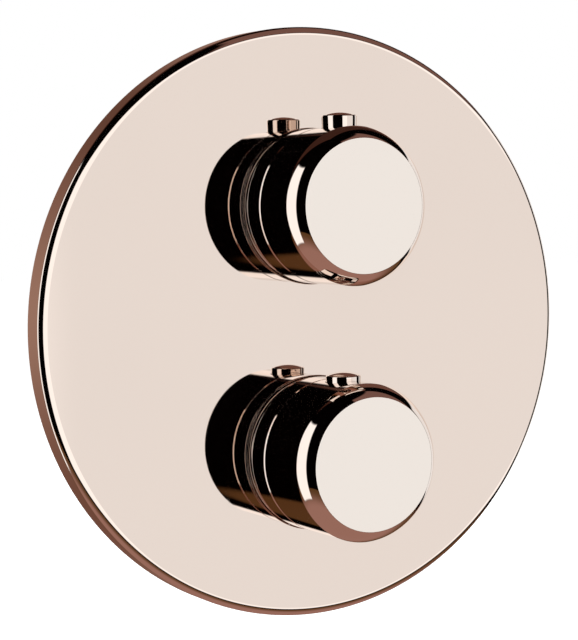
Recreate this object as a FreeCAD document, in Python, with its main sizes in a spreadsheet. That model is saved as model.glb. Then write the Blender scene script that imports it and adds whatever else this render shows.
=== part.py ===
import FreeCAD, Part
import math
import os

import Sketcher

# Concealed thermostatic shower valve: a brass body in the wall with a flow cartridge above and a
# thermostatic cartridge below, a round cover plate, and a knob with an override button on each spindle.
#
# Frame: millimetres, +Z up, +X to the user's right, the user stands at -Y. The origin is the centre of the
# bracket's back face, where the valve is screwed to the wall's structure. Along the two spindle axes a
# "station" is the distance in front of that fixing plane, so a station a lies at Y = -a.

Vector = FreeCAD.Vector
Rotation = FreeCAD.Rotation
Placement = FreeCAD.Placement

doc = FreeCAD.newDocument("thermostatic_shower_valve")

# --------------------------------------------------------------------------------------------------
# Driving sizes: alias, number, what it is (mm, degrees, counts)
# --------------------------------------------------------------------------------------------------

SIZES = [
    ("wall_depth", 84, "fixing plane to finished wall"),
    ("upper_axis", 39.7, "height of the flow spindle above the origin"),
    ("lower_axis", 44.1, "depth of the thermostat spindle below the origin"),
    # cover plate
    ("plate_radius", 100, "outer radius of the cover plate"),
    ("plate_depth", 9.6, "finished wall to the plate's front face"),
    ("plate_face", 2.4, "thickness of the plate's front"),
    ("plate_rim", 2.2, "thickness of the plate's turned-back rim"),
    ("plate_edge", 1.8, "rounding of the plate's front edge"),
    ("gasket_width", 6, "radial width of the foam gasket"),
    ("collar_wall", 3.6, "radial wall of the collar behind each hole of the plate"),
    ("collar_length", 5.4, "length of that collar"),
    ("sleeve_seal", 2.0, "section of the O-ring between plate and sleeve"),
    ("plate_gap", 0.15, "radial gap between plate and sleeve"),
    # sleeves
    ("sleeve_step", 0.05, "radial step from the knobs down to the fixed sleeves"),
    ("sleeve_wall", 1.6, "wall of the sleeves"),
    ("sleeve_length", 35.3, "length of both sleeves"),
    ("sleeve_grip", 12, "length of their internal thread"),
    ("sleeve_root", 3.6, "wall of the sleeves at their internal thread"),
    ("bevel_length", 0.6, "length of the shallow bevel at the sleeves' front edge"),
    ("bevel_drop", 0.25, "radial drop of that bevel"),
    ("sleeve_stand", 2.15, "front of both sleeves before the plate"),
    # knobs
    ("knob_radius", 26.1, "outer radius of both knobs"),
    ("flow_projection", 34.3, "plate's front to the flow knob's front face"),
    ("temperature_projection", 38.0, "plate's front to the temperature knob's front face"),
    ("knob_face_radius", 22.0, "radius of the flat front face"),
    ("knob_nose", 5.5, "length of the rounded nose ring"),
    ("knob_nose_curve", 10.5, "radius of the nose's curve in section"),
    ("knob_wall", 2.3, "wall of the knobs' skirt"),
    ("knob_front_wall", 3.4, "thickness of the knobs' front"),
    ("knob_gap", 0.4, "gap between sleeve and knob"),
    ("knob_bevel", 0.15, "bevel at the knobs' rear edge"),
    ("knob_line", 8.9, "knobs' rear edge to the turned line around them"),
    ("line_length", 0.9, "length of that line's shallow bevel"),
    ("line_depth", 0.45, "depth of that line"),
    # carriers inside the knobs
    ("insert_disc", 3.0, "front disc of the insert"),
    ("insert_wall", 1.9, "ring of the insert"),
    ("insert_gap", 0.05, "radial gap between insert and knob"),
    ("hub_radius", 8.5, "hub of the insert"),
    ("hub_start", 16.5, "rear of the hub before the plate"),
    ("drive_width", 6.0, "square drive across flats"),
    ("drive_gap", 0.05, "gap on each side of the square drive"),
    ("drive_start", 15.4, "start of the square drive before the plate"),
    ("drive_end", 26.0, "end of the spindle before the plate"),
    ("guide_radius", 8.0, "outer radius of the button's guide"),
    ("ledge_height", 17.0, "spring ledge, distance from the spindle axis"),
    ("ledge_wall", 2.0, "thickness of the ledge"),
    # buttons
    ("button_station", 18.9, "button's axis before the plate"),
    ("button_radius", 5.85, "radius of the button's head"),
    ("flow_button_stand", 3.6, "height of the flow button's side above its knob"),
    ("temperature_button_stand", 1.6, "height of the temperature button's side above its knob"),
    ("button_dome", 1.2, "height of the dome on the head"),
    ("button_seat", 4.2, "underside of the buttons' heads below the knob's surface"),
    ("button_gap", 0.15, "radial gap around the head"),
    ("stem_radius", 2.2, "radius of the button's stem"),
    ("stem_gap", 0.08, "radial gap around the stem"),
    ("clip_radius", 3.4, "outer radius of the stem's snap ring"),
    ("clip_width", 0.5, "thickness of the snap rings"),
    ("clip_groove", 0.45, "depth of the stem's groove"),
    ("clip_gap", 0.1, "gap between snap ring and ledge"),
    ("foot_height", 1.6, "height of the button's foot"),
    ("foot_width", 1.2, "width of the button's foot"),
    ("foot_reach", 6.4, "reach of the foot towards the wall"),
    ("button_wire", 0.5, "wire of the button's spring"),
    ("button_spring_radius", 3.5, "mean radius of the button's spring"),
    ("button_coils", 4, "turns of the button's spring"),
    ("grub_radius", 2.0, "radius of the grub screws"),
    ("grub_length", 6.5, "length of the grub screws"),
    ("grub_socket", 2.0, "hexagon socket of the grub screws across flats"),
    ("grub_access", 2.5, "radius of the access hole for the grub screw"),
    ("grub_station", 21.6, "grub screw's axis before the plate"),
    # stop rings
    ("stop_start", 9.5, "rear of the stop rings before the plate"),
    ("stop_disc", 2.5, "thickness of the stop rings"),
    ("stop_radius", 14.8, "outer radius of the stop rings"),
    ("stop_spigot", 7.5, "radius of the bonnet's spigot that carries the stop ring"),
    ("tooth_height", 2.9, "height of a stop tooth"),
    ("tooth_inner", 12.4, "inner radius of a stop tooth"),
    ("tooth_outer", 14.6, "outer radius of a stop tooth"),
    ("tooth_width", 0.8, "width of a stop tooth"),
    ("tooth_gap", 0.1, "gap between the resting foot and its stop tooth"),
    ("eco_angle", 45, "angle at which the flow button has to be pressed"),
    # cartridges, common
    ("seat_station", 69.5, "station of the cartridge seat in the body"),
    ("flange_radius", 18.8, "radius of the cartridge flanges"),
    ("flange_height", 3.0, "thickness of the cartridge flanges"),
    ("neck_length", 10.0, "cartridge seat to the neck's front"),
    ("thread_radius", 19.0, "radius of the neck's internal thread"),
    ("barrel_radius", 16.0, "outer radius of the cartridges"),
    ("barrel_gap", 0.06, "radial gap around the cartridges"),
    ("nut_hex", 33, "cartridge nuts across flats"),
    ("nut_head", 5.0, "height of the nuts' hexagon"),
    ("nut_gap", 0.25, "radial gap between nut and bonnet"),
    ("bonnet_radius", 9.0, "radius of the cartridge bonnets"),
    ("spindle_radius", 5.0, "radius of the spindles"),
    ("spindle_gap", 0.05, "running gap around the spindles"),
    ("collar_radius", 7.5, "radius of the spindles' collar"),
    ("collar_height", 3.0, "thickness of the spindles' collar"),
    ("washer_height", 1.0, "thickness of the thrust washers"),
    ("washer_radius", 7.9, "outer radius of the thrust washers"),
    ("end_gap", 0.05, "axial running gap"),
    ("cavity_top", 4.0, "seat to the top of the cartridges' cavity"),
    ("spindle_seal", 1.5, "section of the spindle O-rings"),
    ("barrel_seal", 1.8, "section of the cartridge O-rings"),
    ("seal_gap", 0.03, "gap around every O-ring"),
    # flow cartridge
    ("flow_cavity", 13.6, "radius of the flow cartridge's cavity"),
    ("disc_radius", 12.8, "radius of the moving ceramic disc"),
    ("fixed_disc_radius", 13.5, "radius of the fixed ceramic disc"),
    ("moving_disc", 4.0, "thickness of the moving disc"),
    ("fixed_disc", 3.8, "thickness of the fixed disc"),
    ("disc_gap", 0.03, "water film between the discs"),
    ("driver_height", 5.0, "height of the driver"),
    ("tang_width", 4.0, "width of the spindle's tang"),
    ("tang_length", 13.0, "length of the spindle's tang"),
    ("tang_depth", 3.0, "depth of the tang in the driver"),
    ("port_seal", 2.2, "thickness of the port seal"),
    ("port_pitch", 8.0, "distance of the outlet ports from the spindle axis"),
    ("port_radius", 3.2, "radius of the ports"),
    ("slot_half", 3.0, "half width of the moving disc's channel"),
    ("slot_reach", 11.2, "reach of that channel"),
    ("slot_depth", 2.5, "depth of that channel"),
    # thermostatic cartridge, depths below the seat
    ("guide_bore", 9.5, "radius of the regulating nut's guide"),
    ("guide_flat", 8.1, "half width of that guide between its flats"),
    ("slide_gap", 0.08, "gap of the sliding pieces"),
    ("guide_end", 20, "seat to the end of the guide"),
    ("thread_end", 18, "seat to the end of the spindle's thread"),
    ("thread_core", 4.5, "radius of the spindle's thread"),
    ("nut_top", 10, "seat to the top of the regulating nut"),
    ("nut_thread", 7, "length of the regulating nut's thread"),
    ("nut_length", 15, "length of the regulating nut"),
    ("cup_radius", 7.4, "inner radius of the regulating nut's cup"),
    ("cup_floor", 0.5, "floor between thread and cup"),
    ("overload_wire", 1.3, "wire of the overload spring"),
    ("overload_radius", 6.4, "mean radius of the overload spring"),
    ("overload_coils", 2, "turns of the overload spring"),
    ("overload_washer", 1.3, "thickness of the overload washer"),
    ("thermostat_bore", 13.0, "bore of the thermostatic cartridge"),
    ("shuttle_top", 27, "seat to the shuttle's cold edge"),
    ("shuttle_length", 12, "length of the shuttle"),
    ("shuttle_wall", 2.4, "wall of the shuttle"),
    ("shuttle_web", 3.0, "thickness of the shuttle's web"),
    ("window_height", 3.0, "height of the hot and cold windows"),
    ("window_lead", 0.5, "middle of a window beyond the shuttle's resting edge"),
    ("window_width", 13.0, "width of the windows"),
    ("wax_flange", 6.5, "radius of the wax element's flange"),
    ("wax_radius", 4.0, "radius of the wax element's bulb"),
    ("wax_length", 13, "length of the bulb"),
    ("wax_pin", 1.5, "radius of the wax element's pin"),
    ("return_wire", 1.4, "wire of the return spring"),
    ("return_radius", 8.4, "mean radius of the return spring"),
    ("return_coils", 4, "turns of the return spring"),
    ("cap_height", 3.0, "thickness of the end cap"),
    ("cap_hole", 6.0, "radius of the end cap's hole"),
    ("thermostat_end", 52, "seat to the cartridge's end"),
    ("floor_gap", 3.0, "cartridge's end to the chamber's floor"),
    # body
    ("body_radius", 23.0, "outer radius of the body's barrels"),
    ("thread_gap", 0.05, "radial gap of the drawn threads"),
    ("barrel_front", 60, "station where barrels end and necks begin"),
    ("body_rear", 3.5, "station of the body's rear"),
    ("web_width", 39, "width of the web between the barrels"),
    ("web_front", 54, "station of the web's front"),
    ("gallery_radius", 19.4, "radius of the hot and cold galleries"),
    ("gallery_width", 8.0, "width of the galleries"),
    ("cross_radius", 3.2, "radius of the cross bores"),
    ("mixed_radius", 3.8, "radius of the mixed water gallery"),
    ("mixed_offset", 2.0, "sideways place of the mixed water gallery"),
    ("mixed_station", 18.2, "station of the mixed water gallery"),
    ("rear_radius", 3.3, "radius of the rear gallery"),
    ("rear_station", 9.2, "station of the rear gallery"),
    ("rear_offset", 6.0, "sideways place of the rear gallery"),
    # ports and connectors
    ("inlet_station", 36.5, "station of the inlets"),
    ("upper_outlet_station", 31, "station of the upper outlet"),
    ("lower_outlet_station", 14.5, "station of the lower outlet"),
    ("inlet_reach", 50, "spindle axis to the inlets' mouth"),
    ("upper_reach", 42, "flow spindle axis to the upper outlet's mouth"),
    ("lower_reach", 45, "thermostat spindle axis to the lower outlet's mouth"),
    ("boss_radius", 13.0, "radius of the port bosses"),
    ("spigot_radius", 11.4, "radius of the connectors' thread"),
    ("spigot_length", 8.8, "length of the connectors' thread"),
    ("spigot_clear", 0.2, "end gap of the connectors"),
    ("inlet_hex", 20, "length of the inlets' hexagon"),
    ("outlet_hex", 16, "length of the outlets' hexagon"),
    ("connector_hex", 25, "connectors across flats"),
    ("pipe_radius", 9.32, "G1/2 internal thread at its minor diameter"),
    ("pipe_depth", 14, "depth of the G1/2 thread"),
    ("outlet_bore", 7.5, "through bore of the outlets"),
    ("outlet_pocket", 9.3, "radius of the pocket behind the outlets' thread"),
    ("pocket_depth", 2.5, "depth of that pocket"),
    ("strainer_radius", 8.4, "radius of the strainers"),
    ("strainer_height", 0.8, "thickness of the strainers"),
    ("strainer_seat", 1.2, "depth of the strainer's seat"),
    ("strainer_hole", 0.75, "radius of the strainers' holes"),
    ("check_radius", 7.9, "radius of the non-return valves"),
    ("check_gap", 0.05, "gap around the non-return valves"),
    ("check_length", 12, "length of the non-return valves"),
    ("check_wall", 1.5, "wall of the non-return valves"),
    ("check_seat", 4.6, "radius of their seat"),
    ("check_seat_height", 2.0, "height of their seat"),
    ("check_end", 1.8, "thickness of their guide"),
    ("poppet_radius", 5.5, "radius of the poppets"),
    ("poppet_height", 2.0, "thickness of the poppets' disc"),
    ("poppet_stem", 1.5, "radius of the poppets' stem"),
    ("poppet_gap", 0.05, "gap around that stem"),
    ("check_wire", 0.35, "wire of the non-return valves' springs"),
    ("check_spring_radius", 2.9, "mean radius of these springs"),
    ("check_coils", 5, "turns of these springs"),
    # bracket
    ("bracket_width", 84, "width of the bracket"),
    ("bracket_height", 56, "height of the bracket"),
    ("bracket_thickness", 2.5, "thickness of the bracket"),
    ("bracket_corner", 6, "corner radius of the bracket"),
    ("fixing_width", 70, "spacing of the fixing holes across"),
    ("fixing_height", 42, "spacing of the fixing holes in height"),
    ("fixing_radius", 2.75, "radius of the fixing holes"),
    ("screw_width", 31, "spacing of the body screws across"),
    ("screw_height", 36, "spacing of the body screws in height"),
    ("screw_radius", 2.5, "radius of the body screws"),
    ("screw_head", 4.7, "head radius of the body screws"),
    ("screw_length", 9.5, "length of the body screws"),
    ("pad_radius", 5.5, "radius of the body's screw pads"),
]

sheet = doc.addObject("Spreadsheet::Sheet", "dims")
for row, (alias, number, meaning) in enumerate(SIZES, 1):
    sheet.set("A%d" % row, meaning)
    sheet.set("B%d" % row, str(number))
    sheet.setAlias("B%d" % row, alias)
NUMBERS = {alias: float(number) for alias, number, meaning in SIZES}


class Size:
    """A size of the sheet, or sizes worked out together: its number and the expression that gives it."""

    def __init__(self, number, text):
        self.number = number
        self.text = text

    def join(self, sign, other, number):
        return Size(number, "(%s %s %s)" % (self.text, sign, size(other).text))

    def __add__(self, other):
        return self.join("+", other, self.number + size(other).number)

    def __sub__(self, other):
        return self.join("-", other, self.number - size(other).number)

    def __mul__(self, other):
        return self.join("*", other, self.number * size(other).number)

    def __truediv__(self, other):
        return self.join("/", other, self.number / size(other).number)

    def __rsub__(self, other):
        return size(other) - self

    def __radd__(self, other):
        return size(other) + self

    def __neg__(self):
        return size(0) - self


def size(value):
    """A bare number as a Size, and a Size as it is."""
    return value if isinstance(value, Size) else Size(float(value), repr(float(value)))


class Sheet:
    """Each alias of the sheet as a Size, by its name."""

    def __getattr__(self, alias):
        return Size(NUMBERS[alias], "dims." + alias)


d = Sheet()

# Stations that several pieces share
plate_front = d.wall_depth + d.plate_depth
button_axis = plate_front + d.button_station
neck_front = d.seat_station + d.neck_length
bonnet_front = plate_front + d.stop_start + d.stop_disc + 1.0
knob_inside = d.knob_radius - d.knob_wall
sleeve_radius = d.knob_radius - d.sleeve_step
button_underside = d.knob_radius - d.button_seat
ledge_bottom = d.ledge_height - d.ledge_wall
foot_top = ledge_bottom - d.clip_gap - d.clip_width - 0.2
chamber_radius = d.barrel_radius + d.barrel_gap


def below_seat(depth):
    """Station of a depth behind the cartridge seat."""
    return d.seat_station - depth


# --------------------------------------------------------------------------------------------------
# Frames: where a piece's own +Z axis points, and its origin
# --------------------------------------------------------------------------------------------------

TO_USER = Rotation(Vector(1, 0, 0), 90)
TO_RIGHT = Rotation(Vector(0, 1, 0), 90)
TO_LEFT = Rotation(Vector(0, 1, 0), -90)
UP = Rotation()
DOWN = Rotation(Vector(1, 0, 0), 180)

UPPER = (TO_USER, (0, 0, d.upper_axis))
LOWER = (TO_USER, (0, 0, -d.lower_axis))
PLATE = (TO_USER, (0, 0, 0))
UPPER_BUTTON = (UP, (0, -button_axis, d.upper_axis))
LOWER_BUTTON = (UP, (0, -button_axis, -d.lower_axis))
HOT = (TO_LEFT, (0, -d.inlet_station, -d.lower_axis))
COLD = (TO_RIGHT, (0, -d.inlet_station, -d.lower_axis))
TOP_OUTLET = (UP, (0, -d.upper_outlet_station, d.upper_axis))
BOTTOM_OUTLET = (DOWN, (0, -d.lower_outlet_station, -d.lower_axis))

nodes = {}


def place(thing, frame):
    """Put an object in its frame, its origin bound to the sheet."""
    rotation, origin = frame
    origin = [size(value) for value in origin]
    thing.Placement = Placement(Vector(*[value.number for value in origin]), rotation)
    for axis, value in zip("xyz", origin):
        thing.setExpression("Placement.Base." + axis, value.text)
    return thing


def keep(label, thing):
    """Name a finished sub-part."""
    thing.Label = label
    nodes[label] = thing
    return thing


# --------------------------------------------------------------------------------------------------
# Drawing helpers: every point of a sketch is held by its distances from the piece's own axes
# --------------------------------------------------------------------------------------------------

class Drawing:
    """A sketch on one of the body's own planes, offset along the plane's normal."""

    def __init__(self, body, plane, offset=0):
        self.sketch = body.newObject("Sketcher::SketchObject", body.Name + "_sketch")
        support = [item for item in body.Origin.OriginFeatures if item.Role == plane][0]
        self.sketch.AttachmentSupport = [(support, "")]
        self.sketch.MapMode = "FlatFace"
        self.sketch.setExpression("AttachmentOffset.Base.z", size(offset).text)

    def hold(self, geometry, end, axis, value):
        """Distance of a point from the origin along one axis."""
        if value.number == 0:
            line = -2 if axis == "X" else -1
            self.sketch.addConstraint(Sketcher.Constraint("PointOnObject", geometry, end, line))
            return
        held = Sketcher.Constraint("Distance" + axis, -1, 1, geometry, end, value.number)
        index = self.sketch.addConstraint(held)
        self.sketch.setExpression("Constraints[%d]" % index, value.text)

    def edge(self, start, end, bend):
        """A line, or an arc that turns left (bend > 0) or right (bend < 0) from start to end."""
        first = Vector(start[0].number, start[1].number, 0)
        last = Vector(end[0].number, end[1].number, 0)
        if bend is None:
            return self.sketch.addGeometry(Part.LineSegment(first, last), False), 1, 2
        radius = abs(bend.number)
        chord = last - first
        left = Vector(-chord.y, chord.x, 0).normalize() * (1 if bend.number > 0 else -1)
        rise = math.sqrt(max(radius**2 - (chord.Length / 2) ** 2, 0))
        middle = (first + last) / 2 + left * (rise - radius)
        if bend.number > 0:
            index, ends = self.sketch.addGeometry(Part.Arc(first, middle, last), False), (1, 2)
        else:
            index, ends = self.sketch.addGeometry(Part.Arc(last, middle, first), False), (2, 1)
        held = self.sketch.addConstraint(Sketcher.Constraint("Radius", index, radius))
        self.sketch.setExpression("Constraints[%d]" % held, bend.text if bend.number > 0 else (-bend).text)
        return index, ends[0], ends[1]

    def path(self, *corners):
        """A closed path; a corner's third value bends the edge that arrives at it."""
        points = [(size(corner[0]), size(corner[1])) for corner in corners]
        bends = [size(corner[2]) if len(corner) > 2 else None for corner in corners]
        count = len(corners)
        edges = [
            self.edge(points[i], points[(i + 1) % count], bends[(i + 1) % count]) for i in range(count)
        ]
        for i in range(count):
            following = edges[(i + 1) % count]
            joined = Sketcher.Constraint("Coincident", edges[i][0], edges[i][2], following[0], following[1])
            self.sketch.addConstraint(joined)
            self.hold(edges[i][0], edges[i][1], "X", points[i][0])
            self.hold(edges[i][0], edges[i][1], "Y", points[i][1])
        return self

    def rectangle(self, left, right, bottom, top):
        return self.path((left, bottom), (right, bottom), (right, top), (left, top))

    def hexagon(self, across):
        """A regular hexagon about the origin, with two corners on the first axis."""
        corner = size(across) / math.sqrt(3)
        half = size(across) / 2
        return self.path(
            (corner, 0), (corner / 2, half), (-(corner / 2), half),
            (-corner, 0), (-(corner / 2), -half), (corner / 2, -half),
        )

    def circle(self, across, up, radius):
        across, up, radius = size(across), size(up), size(radius)
        centre = Vector(across.number, up.number, 0)
        index = self.sketch.addGeometry(Part.Circle(centre, Vector(0, 0, 1), radius.number), False)
        self.hold(index, 3, "X", across)
        self.hold(index, 3, "Y", up)
        held = self.sketch.addConstraint(Sketcher.Constraint("Radius", index, radius.number))
        self.sketch.setExpression("Constraints[%d]" % held, radius.text)
        return self


def new_body(label, frame):
    return keep(label, place(doc.addObject("PartDesign::Body", label), frame))


def feature(body, kind, drawing, **settings):
    """Add a feature to a body; a Size is bound by its expression."""
    made = body.newObject("PartDesign::" + kind, body.Name + "_" + kind.lower())
    made.Profile = (drawing.sketch, [""])
    for name, value in settings.items():
        if isinstance(value, Size):
            setattr(made, name, value.number)
            made.setExpression(name, value.text)
        else:
            setattr(made, name, value)
    drawing.sketch.Visibility = False
    return made


def turn_profile(body, kind, *corners, angle=360):
    """Revolution or Groove of a closed outline of (radius, station) corners about the body's Z axis."""
    drawing = Drawing(body, "XZ_Plane").path(*corners)
    made = feature(body, kind, drawing, Angle=angle)
    made.ReferenceAxis = (drawing.sketch, ["V_Axis"])
    return made


def turned(label, frame, *corners, angle=360):
    """A turned piece."""
    body = new_body(label, frame)
    turn_profile(body, "Revolution", *corners, angle=angle)
    return body


def cut(body, drawing, **settings):
    """A pocket, checked to have taken material away."""
    doc.recompute()
    before = body.Shape.Volume
    made = feature(body, "Pocket", drawing, **settings)
    doc.recompute()
    if body.Shape.Volume > before - 1e-6:
        raise ValueError("a pocket of %s cuts nothing" % body.Label)
    return made


def cut_through(body, drawing):
    """A pocket right through, both ways from its sketch."""
    return cut(body, drawing, Type="ThroughAll", Midplane=True)


def pad(body, drawing, length, **settings):
    return feature(body, "Pad", drawing, Length=size(length), **settings)


# --------------------------------------------------------------------------------------------------
# Solid helpers for cast, moulded and repeated pieces
# --------------------------------------------------------------------------------------------------

def solid(kind, frame, **sizes):
    """A Part primitive whose sizes are bound to the sheet."""
    made = doc.addObject("Part::" + kind, kind.lower())
    for name, value in sizes.items():
        value = size(value)
        setattr(made, name, value.number)
        made.setExpression(name, value.text)
    return place(made, frame)


def rod(rotation, origin, radius, length):
    return solid("Cylinder", (rotation, origin), Radius=radius, Height=length)


def block(x, y, z):
    """A box between two limits along each axis."""
    sizes = [size(limits[1]) - size(limits[0]) for limits in (x, y, z)]
    origin = [limits[0] for limits in (x, y, z)]
    return solid("Box", (UP, origin), Length=sizes[0], Width=sizes[1], Height=sizes[2])


def ring(frame, radius, section):
    return solid("Torus", frame, Radius1=radius, Radius2=section)


def fuse(parts):
    made = doc.addObject("Part::MultiFuse", "fusion")
    made.Shapes = parts
    made.Refine = False
    return made


def difference(base, tool):
    made = doc.addObject("Part::Cut", "difference")
    made.Base = base
    made.Tool = tool
    made.Refine = True
    return made


def group(label, parts):
    """Equal pieces that share one node as separate solids."""
    made = doc.addObject("Part::Compound", label)
    made.Links = parts
    return keep(label, made)


def arc_from(start, tangent, end):
    """The arc that leaves start along tangent and ends at end, by its middle point."""
    chord = end - start
    sideways = chord - tangent * chord.dot(tangent)
    radius = chord.dot(chord) / (2 * sideways.Length)
    centre = start + sideways.normalize() * radius
    outward = (start + end) / 2 - centre
    return Part.Arc(start, centre + outward.normalize() * radius, end).toShape()


def coil(label, frame, mean_radius, wire, turns, start, end):
    """An open spring between two stations: a round wire along a helix of quarter turns, two arcs each."""
    mean_radius, wire, turns, start, end = [size(value).number for value in (mean_radius, wire, turns, start, end)]
    low, high = start + wire * 0.52, end - wire * 0.52
    rise = (high - low) / (turns * 2 * math.pi)

    def point(angle):
        return Vector(mean_radius * math.cos(angle), mean_radius * math.sin(angle), low + rise * angle)

    def tangent(angle):
        return Vector(-mean_radius * math.sin(angle), mean_radius * math.cos(angle), rise).normalize()

    edges = []
    quarters = int(round(turns * 4))
    for quarter in range(quarters):
        begin, finish = [turns * 2 * math.pi * i / quarters for i in (quarter, quarter + 1)]
        first, last, leave, arrive = point(begin), point(finish), tangent(begin), tangent(finish)
        chord, sum_of_tangents = last - first, leave + arrive
        squared = 2 * (1 - leave.dot(arrive))
        root = math.sqrt(chord.dot(sum_of_tangents) ** 2 + squared * chord.dot(chord))
        reach = (root - chord.dot(sum_of_tangents)) / squared
        meeting = (first + last + (leave - arrive) * reach) / 2
        edges.append(arc_from(first, leave, meeting))
        edges.append(arc_from(meeting, (meeting - (first + leave * reach)).normalize(), last))
    path = Part.Wire(edges)
    section = Part.Wire([Part.Circle(point(0), tangent(0), wire / 2).toShape()])
    spring = doc.addObject("Part::Feature", label)
    spring.Shape = path.makePipeShell([section], True, False)
    return keep(label, place(spring, frame))


# --------------------------------------------------------------------------------------------------
# Cover plate, its gasket and seals
# --------------------------------------------------------------------------------------------------

plate_inside = plate_front - d.plate_face
rim_inside = d.plate_radius - d.plate_rim
hole_radius = sleeve_radius + d.plate_gap
groove_depth = d.sleeve_seal - d.plate_gap + d.seal_gap
collar_end = plate_inside - d.collar_length
seal_station = plate_inside - d.collar_length / 2

face_plate = turned(
    "face_plate", PLATE,
    (0, plate_inside), (rim_inside, plate_inside), (rim_inside, d.wall_depth), (d.plate_radius, d.wall_depth),
    (d.plate_radius, plate_front - d.plate_edge), (d.plate_radius - d.plate_edge, plate_front, d.plate_edge),
    (0, plate_front),
)
for height in (d.upper_axis, -d.lower_axis):
    collar = Drawing(face_plate, "XY_Plane", plate_inside).circle(0, height, hole_radius + d.collar_wall)
    pad(face_plate, collar, d.collar_length, Reversed=True)
for height in (d.upper_axis, -d.lower_axis):
    cut_through(face_plate, Drawing(face_plate, "XY_Plane").circle(0, height, hole_radius))
for height in (d.upper_axis, -d.lower_axis):
    groove = Drawing(face_plate, "XY_Plane", seal_station - d.sleeve_seal / 2 - d.seal_gap)
    groove.circle(0, height, hole_radius + groove_depth)
    cut(face_plate, groove, Length=d.sleeve_seal + d.seal_gap * 2, Reversed=True)

turned(
    "plate_gasket", PLATE,
    (rim_inside - d.gasket_width, d.wall_depth), (rim_inside - d.insert_gap, d.wall_depth),
    (rim_inside - d.insert_gap, plate_inside), (rim_inside - d.gasket_width, plate_inside),
)

sleeve_seals = []
for height in (d.upper_axis, -d.lower_axis):
    seal_ring = sleeve_radius + d.sleeve_seal / 2 + d.seal_gap / 2
    sleeve_seals.append(ring((TO_USER, (0, -seal_station, height)), seal_ring, d.sleeve_seal / 2 - d.seal_gap / 2))
group("sleeve_seals", sleeve_seals)

# --------------------------------------------------------------------------------------------------
# Sleeves: tubes screwed on the body's necks
# --------------------------------------------------------------------------------------------------

sleeve_inside = sleeve_radius - d.sleeve_wall
sleeve_thread = sleeve_radius - d.sleeve_root
neck_radius = sleeve_thread - d.thread_gap
sleeve_front = plate_front + d.sleeve_stand
sleeve_rear = sleeve_front - d.sleeve_length
for label, frame in (("upper_sleeve", UPPER), ("lower_sleeve", LOWER)):
    turned(
        label, frame,
        (sleeve_thread, sleeve_rear), (sleeve_radius, sleeve_rear), (sleeve_radius, sleeve_front - d.bevel_length),
        (sleeve_radius - d.bevel_drop, sleeve_front), (sleeve_inside, sleeve_front),
        (sleeve_inside, sleeve_rear + d.sleeve_grip), (sleeve_thread, sleeve_rear + d.sleeve_grip),
    )

# --------------------------------------------------------------------------------------------------
# Knobs, inserts, buttons, their springs and rings, grub screws and stop rings: one set on each spindle
# --------------------------------------------------------------------------------------------------

knob_rear = sleeve_front + d.knob_gap
knob_line = knob_rear + d.knob_line
ring_outside = knob_inside - d.insert_gap
ring_inside = ring_outside - d.insert_wall
ring_rear = button_axis - d.guide_radius - 1.0
hub_rear = plate_front + d.hub_start
drive_rear = plate_front + d.drive_start
spindle_end = plate_front + d.drive_end
grub_axis = plate_front + d.grub_station
foot_bottom = foot_top - d.foot_height
clip_top = ledge_bottom - d.clip_gap
clip_root = d.stem_radius - d.clip_groove
dome_curve = (d.button_radius * d.button_radius + d.button_dome * d.button_dome) / (d.button_dome * 2)
socket_half = d.drive_width / 2 + d.drive_gap


def make_knob(label, frame, knob_front):
    """Hollow turned knob with a flat face, a rounded nose ring, the button's hole and the screw's access."""
    insert_front = knob_front - d.knob_front_wall
    knob = turned(
        label, frame,
        (0, insert_front), (knob_inside, insert_front), (knob_inside, knob_rear),
        (d.knob_radius - d.knob_bevel, knob_rear), (d.knob_radius, knob_rear + d.knob_bevel),
        (d.knob_radius, knob_line - d.line_length), (d.knob_radius - d.line_depth, knob_line),
        (d.knob_radius, knob_line), (d.knob_radius, knob_front - d.knob_nose),
        (d.knob_face_radius, knob_front, d.knob_nose_curve), (0, knob_front),
    )
    button_hole = Drawing(knob, "XZ_Plane").circle(0, button_axis, d.button_radius + d.button_gap)
    cut(knob, button_hole, Type="ThroughAll")
    access = Drawing(knob, "XZ_Plane").circle(0, grub_axis, d.grub_access)
    cut(knob, access, Type="ThroughAll", Reversed=True)


def make_insert(label, frame, knob_front):
    """Moulded carrier pressed into the knob: disc, ring, hub with square socket, and the button's guide."""
    rotation, (x, y, height) = frame
    axis_y = -button_axis
    insert_front = knob_front - d.knob_front_wall
    disc_rear = insert_front - d.insert_disc
    drum = rod(TO_USER, (x, -ring_rear, height), ring_outside, insert_front - ring_rear)
    hollow = rod(TO_USER, (x, -(ring_rear - 1.0), height), ring_inside, disc_rear - ring_rear + 1.0)
    hub = rod(TO_USER, (x, -hub_rear, height), d.hub_radius, disc_rear - hub_rear + 1.0)
    guide = rod(UP, (x, axis_y, size(height) + ledge_bottom), d.guide_radius, ring_inside - ledge_bottom + 0.3)
    carrier = fuse([difference(drum, hollow), hub, guide])
    pocket_radius = d.button_radius + d.button_gap
    socket_length = spindle_end + 0.5 - hub_rear
    cuts = fuse([
        rod(UP, (x, axis_y, size(height) + d.ledge_height), pocket_radius, knob_inside - d.ledge_height),
        rod(UP, (x, axis_y, size(height) + ledge_bottom - 1.0), d.stem_radius + d.stem_gap, d.ledge_wall + 2.0),
        block(
            (-socket_half, socket_half), (-(hub_rear + socket_length), -hub_rear),
            (size(height) - socket_half, size(height) + socket_half),
        ),
        rod(DOWN, (x, -grub_axis, height), d.grub_radius + d.thread_gap, d.hub_radius + 1.0),
        rod(DOWN, (x, -grub_axis, size(height) - d.hub_radius), d.grub_access, knob_inside - d.hub_radius),
    ])
    keep(label, difference(carrier, cuts))


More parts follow.
